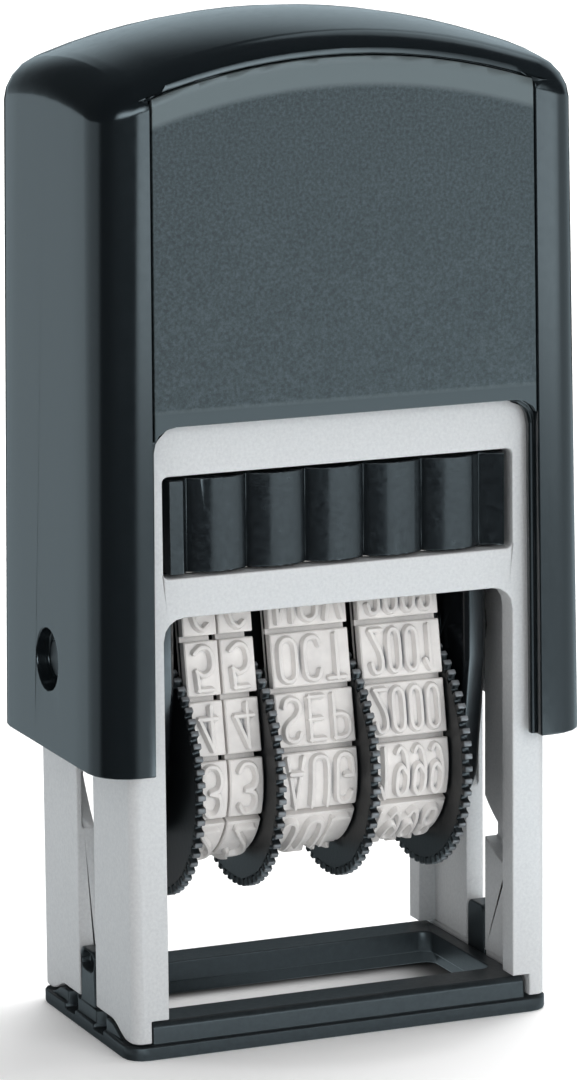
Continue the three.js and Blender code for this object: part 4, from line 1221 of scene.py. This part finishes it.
@dataclass
class Frame:
    """The silver housing on its black foot, with the ink cartridge through its upper window."""

    edge: float = 0.12
    foot_edge: float = 0.14
    tray_edge: float = 0.08

    def build(self) -> None:
        """Make the housing, foot, cartridge, pad and spring."""
        Moulding("lower_frame", "frame", Finish.SILVER, "silver_plastic", self.edge).build()
        Moulding("base_frame", "frame", Finish.FOOT, "foot_plastic", self.foot_edge).build()
        Moulding(
            "ink_cartridge", "frame", Finish.CARTRIDGE, "cartridge_plastic", self.tray_edge,
            reshape=CartridgeRibs().form,
        ).build()
        SoftStrip(
            "ink_pad", "frame", Finish.FELT, "ink_felt", edge=0.5, swell=0.15, face_up=False, fill=0.9
        ).build()
        ReturnSpring().build()


@dataclass
class Carriage:
    """What turns over between ink pad and paper: cheeks, bridge, pins, wheels and bands."""

    edge: float = 0.1
    wheel_edge: float = 0.06
    months: str = "DEC NOV OCT SEP AUG JUL JUN MAY APR MAR FEB JAN"
    first_year: int = 2004
    first_digit: int = 8

    def digits(self) -> list[str]:
        """Return the texts of a day band, the printing row first."""
        values = [str(self.first_digit - row) for row in range(self.first_digit + 1)]
        return values + ["", "", "", "", "9"]

    def bands(self) -> list[DateBand]:
        """Return the four bands from left to right."""
        years = [str(self.first_year - row) for row in range(BandPath.rows)]
        return [
            DateBand("day_tens", self.digits(), 1.45, 1.9, inset=0.35),
            DateBand("day_units", self.digits(), 1.45, 1.9, inset=0.35),
            DateBand("month", ["", *self.months.split(), ""], 1.35, 2.05),
            DateBand("year", years, 0.95, 1.5),
        ]

    def build(self) -> None:
        """Make all the pieces that turn with the carriage."""
        parts = []
        for side in ("left", "right"):
            parts.append((f"{side}_cheek", Finish.CARRIAGE, "carriage_plastic"))
            parts.append((f"{side}_pivot_pin", Finish.PIVOT, "pivot_plastic"))
            parts.append((f"{side}_guide_pin", Finish.PIVOT, "pivot_plastic"))
        parts.append(("carriage_bridge", Finish.CARRIAGE, "carriage_plastic"))
        parts.append(("wheel_axle", Finish.PIN, "pin_steel"))
        for node, finish, slot in parts:
            Moulding(node, "carriage", finish, slot, self.edge).build()
        SoftStrip(
            "platen_cushion", "carriage", Finish.CUSHION, "cushion_rubber",
            edge=0.2, swell=0.04, face_up=True, fill=1.0,
        ).build()
        for band in self.bands():
            band.build()
            wheel = f"{band.unit}_wheel"
            Moulding(wheel, wheel, Finish.WHEEL, "wheel_plastic", self.wheel_edge, steps=1).build()


# Studio


def direction(azimuth: float, elevation: float) -> Vector:
    """Return the unit vector that points from the stamp to an azimuth and elevation."""
    a, e = math.radians(azimuth), math.radians(elevation)
    return Vector((math.sin(a) * math.cos(e), -math.cos(a) * math.cos(e), math.sin(e)))


@dataclass
class Camera:
    """The camera that took the photograph, solved from the stamp's straight edges."""

    azimuth: float = -22.766
    elevation: float = 11.182
    roll: float = -0.537
    distance: float = 412.3
    target: Point = (-0.02, 0.0, 37.872)
    focal_pixels: float = 5233.9
    image_height: float = 1080.0
    sensor: float = 36.0
    clip_start_m: float = 0.01
    clip_end_m: float = 20.0

    def build(self) -> None:
        """Make the camera and set it as the scene's own."""
        a, r = math.radians(self.azimuth), math.radians(self.roll)
        back = direction(self.azimuth, self.elevation)
        level = Vector((math.cos(a), math.sin(a), 0.0))
        lift = back.cross(level)
        right = level * math.cos(r) + lift * math.sin(r)
        up = lift * math.cos(r) - level * math.sin(r)
        matrix = Matrix((right, up, back)).transposed().to_4x4()
        matrix.translation = (Vector(self.target) + back * self.distance) * MM
        data = bpy.data.cameras.new("photograph_camera")
        data.sensor_width = self.sensor
        data.lens = self.focal_pixels / self.image_height * self.sensor
        data.clip_start = self.clip_start_m
        data.clip_end = self.clip_end_m
        camera = bpy.data.objects.new("photograph_camera", data)
        bpy.context.scene.collection.objects.link(camera)
        camera.matrix_world = matrix
        bpy.context.scene.camera = camera


@dataclass
class Softbox:
    """A soft lamp that looks at the stamp from an azimuth and elevation."""

    name: str
    azimuth: float
    elevation: float
    width_m: float
    height_m: float
    power_w: float
    distance_m: float = 0.9
    aim_m: Point = (0.0, 0.0, 0.04)

    def build(self) -> None:
        """Make the lamp."""
        data = bpy.data.lights.new(self.name, "AREA")
        data.shape = "RECTANGLE"
        data.size, data.size_y = self.width_m, self.height_m
        data.energy = self.power_w
        lamp = bpy.data.objects.new(self.name, data)
        bpy.context.scene.collection.objects.link(lamp)
        towards = direction(self.azimuth, self.elevation)
        lamp.location = towards * self.distance_m + Vector(self.aim_m)
        lamp.rotation_euler = towards.to_track_quat("Z", "Y").to_euler()
        lamp.visible_glossy = False


@dataclass
class TableCards:
    """What the gloss mirrors of the table: its cards, placed from the cap's near corner.

    Levels are brightnesses. Spans of reach are metres from the corner. The other spans are shares
    of the way forwards or to the right.
    """

    corner: Span = (-0.0195, -0.012)
    corner_turn: float = 4.5
    level: float = 0.78
    near_level: float = 1.2
    near_forward: Span = (0.0, 0.6)
    bright_level: float = 4.2
    bright_reach: Span = (0.22, 0.5)
    bright_forward: Span = (0.3, 0.7)
    bounce_level: float = 6.0
    bounce_right: Span = (0.4, 0.5)
    bounce_forward: Span = (0.1, 0.35)
    bounce_start: Span = (0.05, 0.065)
    bounce_end: Span = (0.1, 0.12)
    behind_level: float = 0.2
    behind_forward: Span = (-0.85, -0.6)
    behind_right: Span = (-0.2, 0.1)
    dark_level: float = 0.02
    dark_right: Span = (-0.1, 0.1)
    dark_forward: Span = (-0.25, 0.05)

    def brightness(self, tree: bpy.types.NodeTree) -> Signal:
        """Work out how bright each spot of the table looks in the gloss.

        A dark card lies at the left front and a lit white one further off at the right front. A
        small one close at the right front lights the crown's lip, and it is dark straight behind.

        Args:
            tree: The table's node tree.

        Returns:
            The brightness.
        """
        place_x, place_y, _ = object_place(tree).axes()
        x = place_x - self.corner[0]
        y = self.corner[1] - place_y
        reach = distance(x, y)
        forward = y / reach
        right = x / reach
        turn = math.radians(self.corner_turn)
        turned_right = (x * math.cos(turn) - y * math.sin(turn)) / reach
        level = forward.eased(self.near_forward, self.level, self.near_level)
        bright = reach.eased(self.bright_reach) * forward.eased(self.bright_forward)
        level = level + bright * (self.bright_level - self.near_level)
        bounce = right.eased(self.bounce_right) * forward.eased(self.bounce_forward)
        bounce = bounce * (reach.eased(self.bounce_start) * reach.eased(self.bounce_end, 1, 0))
        level = level + bounce * self.bounce_level
        behind = forward.eased(self.behind_forward, 1, 0) * right.eased(self.behind_right)
        level = level * behind.mapped((0, 1), 1, self.behind_level)
        dark = turned_right.eased(self.dark_right, 1, 0) * forward.eased(self.dark_forward)
        return level * dark.mapped((0, 1), 1, self.dark_level)


@dataclass
class TableTop:
    """White table that keeps the stamp's shadow, with painted shade inside the foot's aperture.

    Places and spans are metres. What the camera sees of the table glows a little round the foot
    and more further off, as a lit sweep does.
    """

    half: float = 4.0
    albedo: float = 0.86
    foot_half: Span = (0.0165, 0.0085)
    foot_blur: Span = (0.97, 1.03)
    shade_y: Span = (0.0052, 0.0066)
    shade_light: float = 0.85
    shade_dark: float = 0.12
    shade_x: Span = (0.0105, 0.0145)
    shade_right: float = 0.2
    near_glow: float = 0.07
    near_span: Span = (0.0165, 0.019)
    far_glow: float = 0.4
    far_span: Span = (0.05, 0.25)

    def tone(self, tree: bpy.types.NodeTree) -> Signal:
        """Work out how light the table is: white, but with painted shade inside the foot's aperture.

        Args:
            tree: The table's node tree.

        Returns:
            The lightness.
        """
        x, y, _ = object_place(tree).axes()
        sides = [
            worked(tree, "ABSOLUTE", axis) / half for axis, half in zip((x, y), self.foot_half)
        ]
        outside = worked(tree, "MAXIMUM", *sides).mapped(self.foot_blur)
        # Painted shade: inside the aperture the table is darkened towards the rear and towards the right.
        strip = y.eased(self.shade_y, self.shade_light, self.shade_dark)
        return worked(tree, "MAXIMUM", strip * x.eased(self.shade_x, 1, self.shade_right), outside)

    def glow(self, tree: bpy.types.NodeTree) -> Signal:
        """Work out how much the table glows at each spot.

        Args:
            tree: The table's node tree.

        Returns:
            The strength of the glow.
        """
        node = add_node(tree, "ShaderNodeVectorMath", {"operation": "LENGTH"}, {0: object_place(tree)})
        away = Signal(tree, node.outputs["Value"])
        near = away.mapped(self.near_span, 0, self.near_glow)
        return worked(tree, "MAXIMUM", near, away.eased(self.far_span, 0, self.far_glow))

    def build(self, cool: str) -> None:
        """Make the table.

        Args:
            cool: Colour of what the gloss mirrors of it.
        """
        h = self.half / MM
        table = mesh_object("table", [(-h, -h, 0), (h, -h, 0), (h, h, 0), (-h, h, 0)], [(0, 1, 2, 3)])
        material, tree, shader = new_material("white_table_laminate")
        shader.inputs["Base Color"].default_value = (self.albedo, self.albedo, self.albedo, 1.0)
        shader.inputs["Roughness"].default_value = 1.0
        shader.inputs["Specular IOR Level"].default_value = 0.0
        path = add_node(tree, "ShaderNodeLightPath")
        rays = [Signal(tree, path.outputs[f"Is {kind} Ray"]) for kind in ("Camera", "Transmission")]
        tone = self.tone(tree)
        grey = add_node(tree, "ShaderNodeCombineColor", links={0: tone, 1: tone, 2: tone})
        cover = add_node(tree, "ShaderNodeBsdfDiffuse", links={"Color": grey.outputs[0]})
        lift = add_node(tree, "ShaderNodeEmission", links={"Strength": self.glow(tree)})
        seen = add_node(tree, "ShaderNodeAddShader", links={0: cover.outputs[0], 1: lift.outputs[0]})
        plain = either(tree, worked(tree, "MAXIMUM", *rays), shader, seen)
        brightness = TableCards().brightness(tree)
        settings = {"Color": linear(cool)}
        mirrored = add_node(tree, "ShaderNodeEmission", settings, {"Strength": brightness})
        glossy = Signal(tree, path.outputs["Is Glossy Ray"])
        final = either(tree, glossy, plain, mirrored)
        tree.links.new(final.outputs[0], tree.nodes["Material Output"].inputs["Surface"])
        table.data.materials.append(material)


def either(
    tree: bpy.types.NodeTree, share: Signal, first: bpy.types.Node, second: bpy.types.Node
) -> bpy.types.Node:
    """Mix two shaders.

    Args:
        tree: The node tree.
        share: How much of the second one shows.
        first: A shader's node.
        second: A shader's node.

    Returns:
        The mixing node.
    """
    links = {0: share, 1: first.outputs[0], 2: second.outputs[0]}
    return add_node(tree, "ShaderNodeMixShader", links=links)


@dataclass
class Room:
    """Soft light of the room, and what the gloss mirrors of it: dark overhead and cooler.

    Spans are shares of a direction along one axis, or of its nearness to the spot's.
    """

    height_span: Span = (0.1, 0.8)
    low: float = 0.8
    high: float = 0.45
    mirror_lean: float = 0.8
    mirror_span: Span = (0.0, 0.45)
    mirror_low: float = 0.75
    mirror_high: float = 0.03
    front_level: float = 0.04
    front_span: Span = (0.15, 0.45)
    spot_level: float = 0.9
    spot_towards: Point = (0.5, 0.45, 0.74)
    spot_span: Span = (0.955, 0.98)
    strip_level: float = 7.0
    strip_forward: Span = (-0.8, -0.55)
    strip_top: Span = (0.2, 0.42)
    strip_bottom: Span = (0.04, 0.1)
    strip_right: Span = (0.33, 0.5)
    strip_right_level: float = 0.2

    def build(self, cool: str) -> None:
        """Make the room.

        Args:
            cool: Colour of what the gloss mirrors of it.
        """
        world = bpy.data.worlds.new("studio_room")
        bpy.context.scene.world = world
        world.use_nodes = True
        tree = world.node_tree
        towards = Signal(tree, add_node(tree, "ShaderNodeTexCoord").outputs["Generated"])
        x, y, z = towards.axes()
        room = tree.nodes["Background"]
        room.inputs["Color"].default_value = linear("#ffffff")
        z.eased(self.height_span, self.low, self.high).into(room.inputs["Strength"])
        falling = (z - x * self.mirror_lean).eased(self.mirror_span, self.mirror_low, self.mirror_high)
        back = y.eased(self.front_span, self.front_level, 1)
        settings = {"operation": "DOT_PRODUCT", 1: Vector(self.spot_towards).normalized()[:]}
        nearness = add_node(tree, "ShaderNodeVectorMath", settings, {0: towards})
        spot = Signal(tree, nearness.outputs["Value"]).eased(self.spot_span, 0, self.spot_level)
        rising = z.eased(self.strip_bottom) * x.eased(self.strip_right, 1, self.strip_right_level)
        strip = y.eased(self.strip_forward, self.strip_level, 0) * (z.eased(self.strip_top, 1, 0) * rising)
        strength = falling * back + spot + strip
        settings = {"Color": linear(cool)}
        mirrored = add_node(tree, "ShaderNodeBackground", settings, {"Strength": strength})
        path = add_node(tree, "ShaderNodeLightPath")
        final = either(tree, Signal(tree, path.outputs["Is Glossy Ray"]), room, mirrored)
        tree.links.new(final.outputs[0], tree.nodes["World Output"].inputs["Surface"])


@dataclass
class Studio:
    """White sweep with soft light, as a product table has, and what the gloss mirrors of it."""

    cool: str = "#d9eff9"
    flag_size: Span = (300.0, 76.0)
    flag_place: Span = (0.0, 190.0)

    def flag(self) -> None:
        """Stand a black card behind the stamp, which only the gloss of its low parts mirrors."""
        width, height = self.flag_size
        x, y = self.flag_place
        corners = [(x, y, 0), (x + width, y, 0), (x + width, y, height), (x, y, height)]
        card = mesh_object("black_card", corners, [(0, 1, 2, 3)])
        material, _, shader = new_material("black_flock_card")
        shader.inputs["Base Color"].default_value = linear("#050505")
        shader.inputs["Specular IOR Level"].default_value = 0.0
        card.data.materials.append(material)
        card.visible_camera = False
        card.visible_diffuse = False
        card.visible_shadow = False
        card.visible_transmission = False

    def build(self) -> None:
        """Make the table, the black card, the room and the lamps."""
        TableTop().build(self.cool)
        self.flag()
        Room().build(self.cool)
        Softbox("back_softbox", 125.0, 62.0, 0.7, 0.7, 7.5).build()
        Softbox("front_softbox", 20.0, 16.0, 0.5, 0.3, 2.2).build()
        bpy.context.scene.view_settings.view_transform = "Standard"


def main() -> None:
    """Build the stamp's sub-assemblies and its studio in order."""
    logging.basicConfig(level=logging.INFO, format="%(message)s")
    Camera().build()
    for assembly in (Frame(), Cap(), Carriage()):
        assembly.build()
        LOG.info("%s is dressed", type(assembly).__name__)
    Studio().build()


if __name__ == "__main__":
    main()
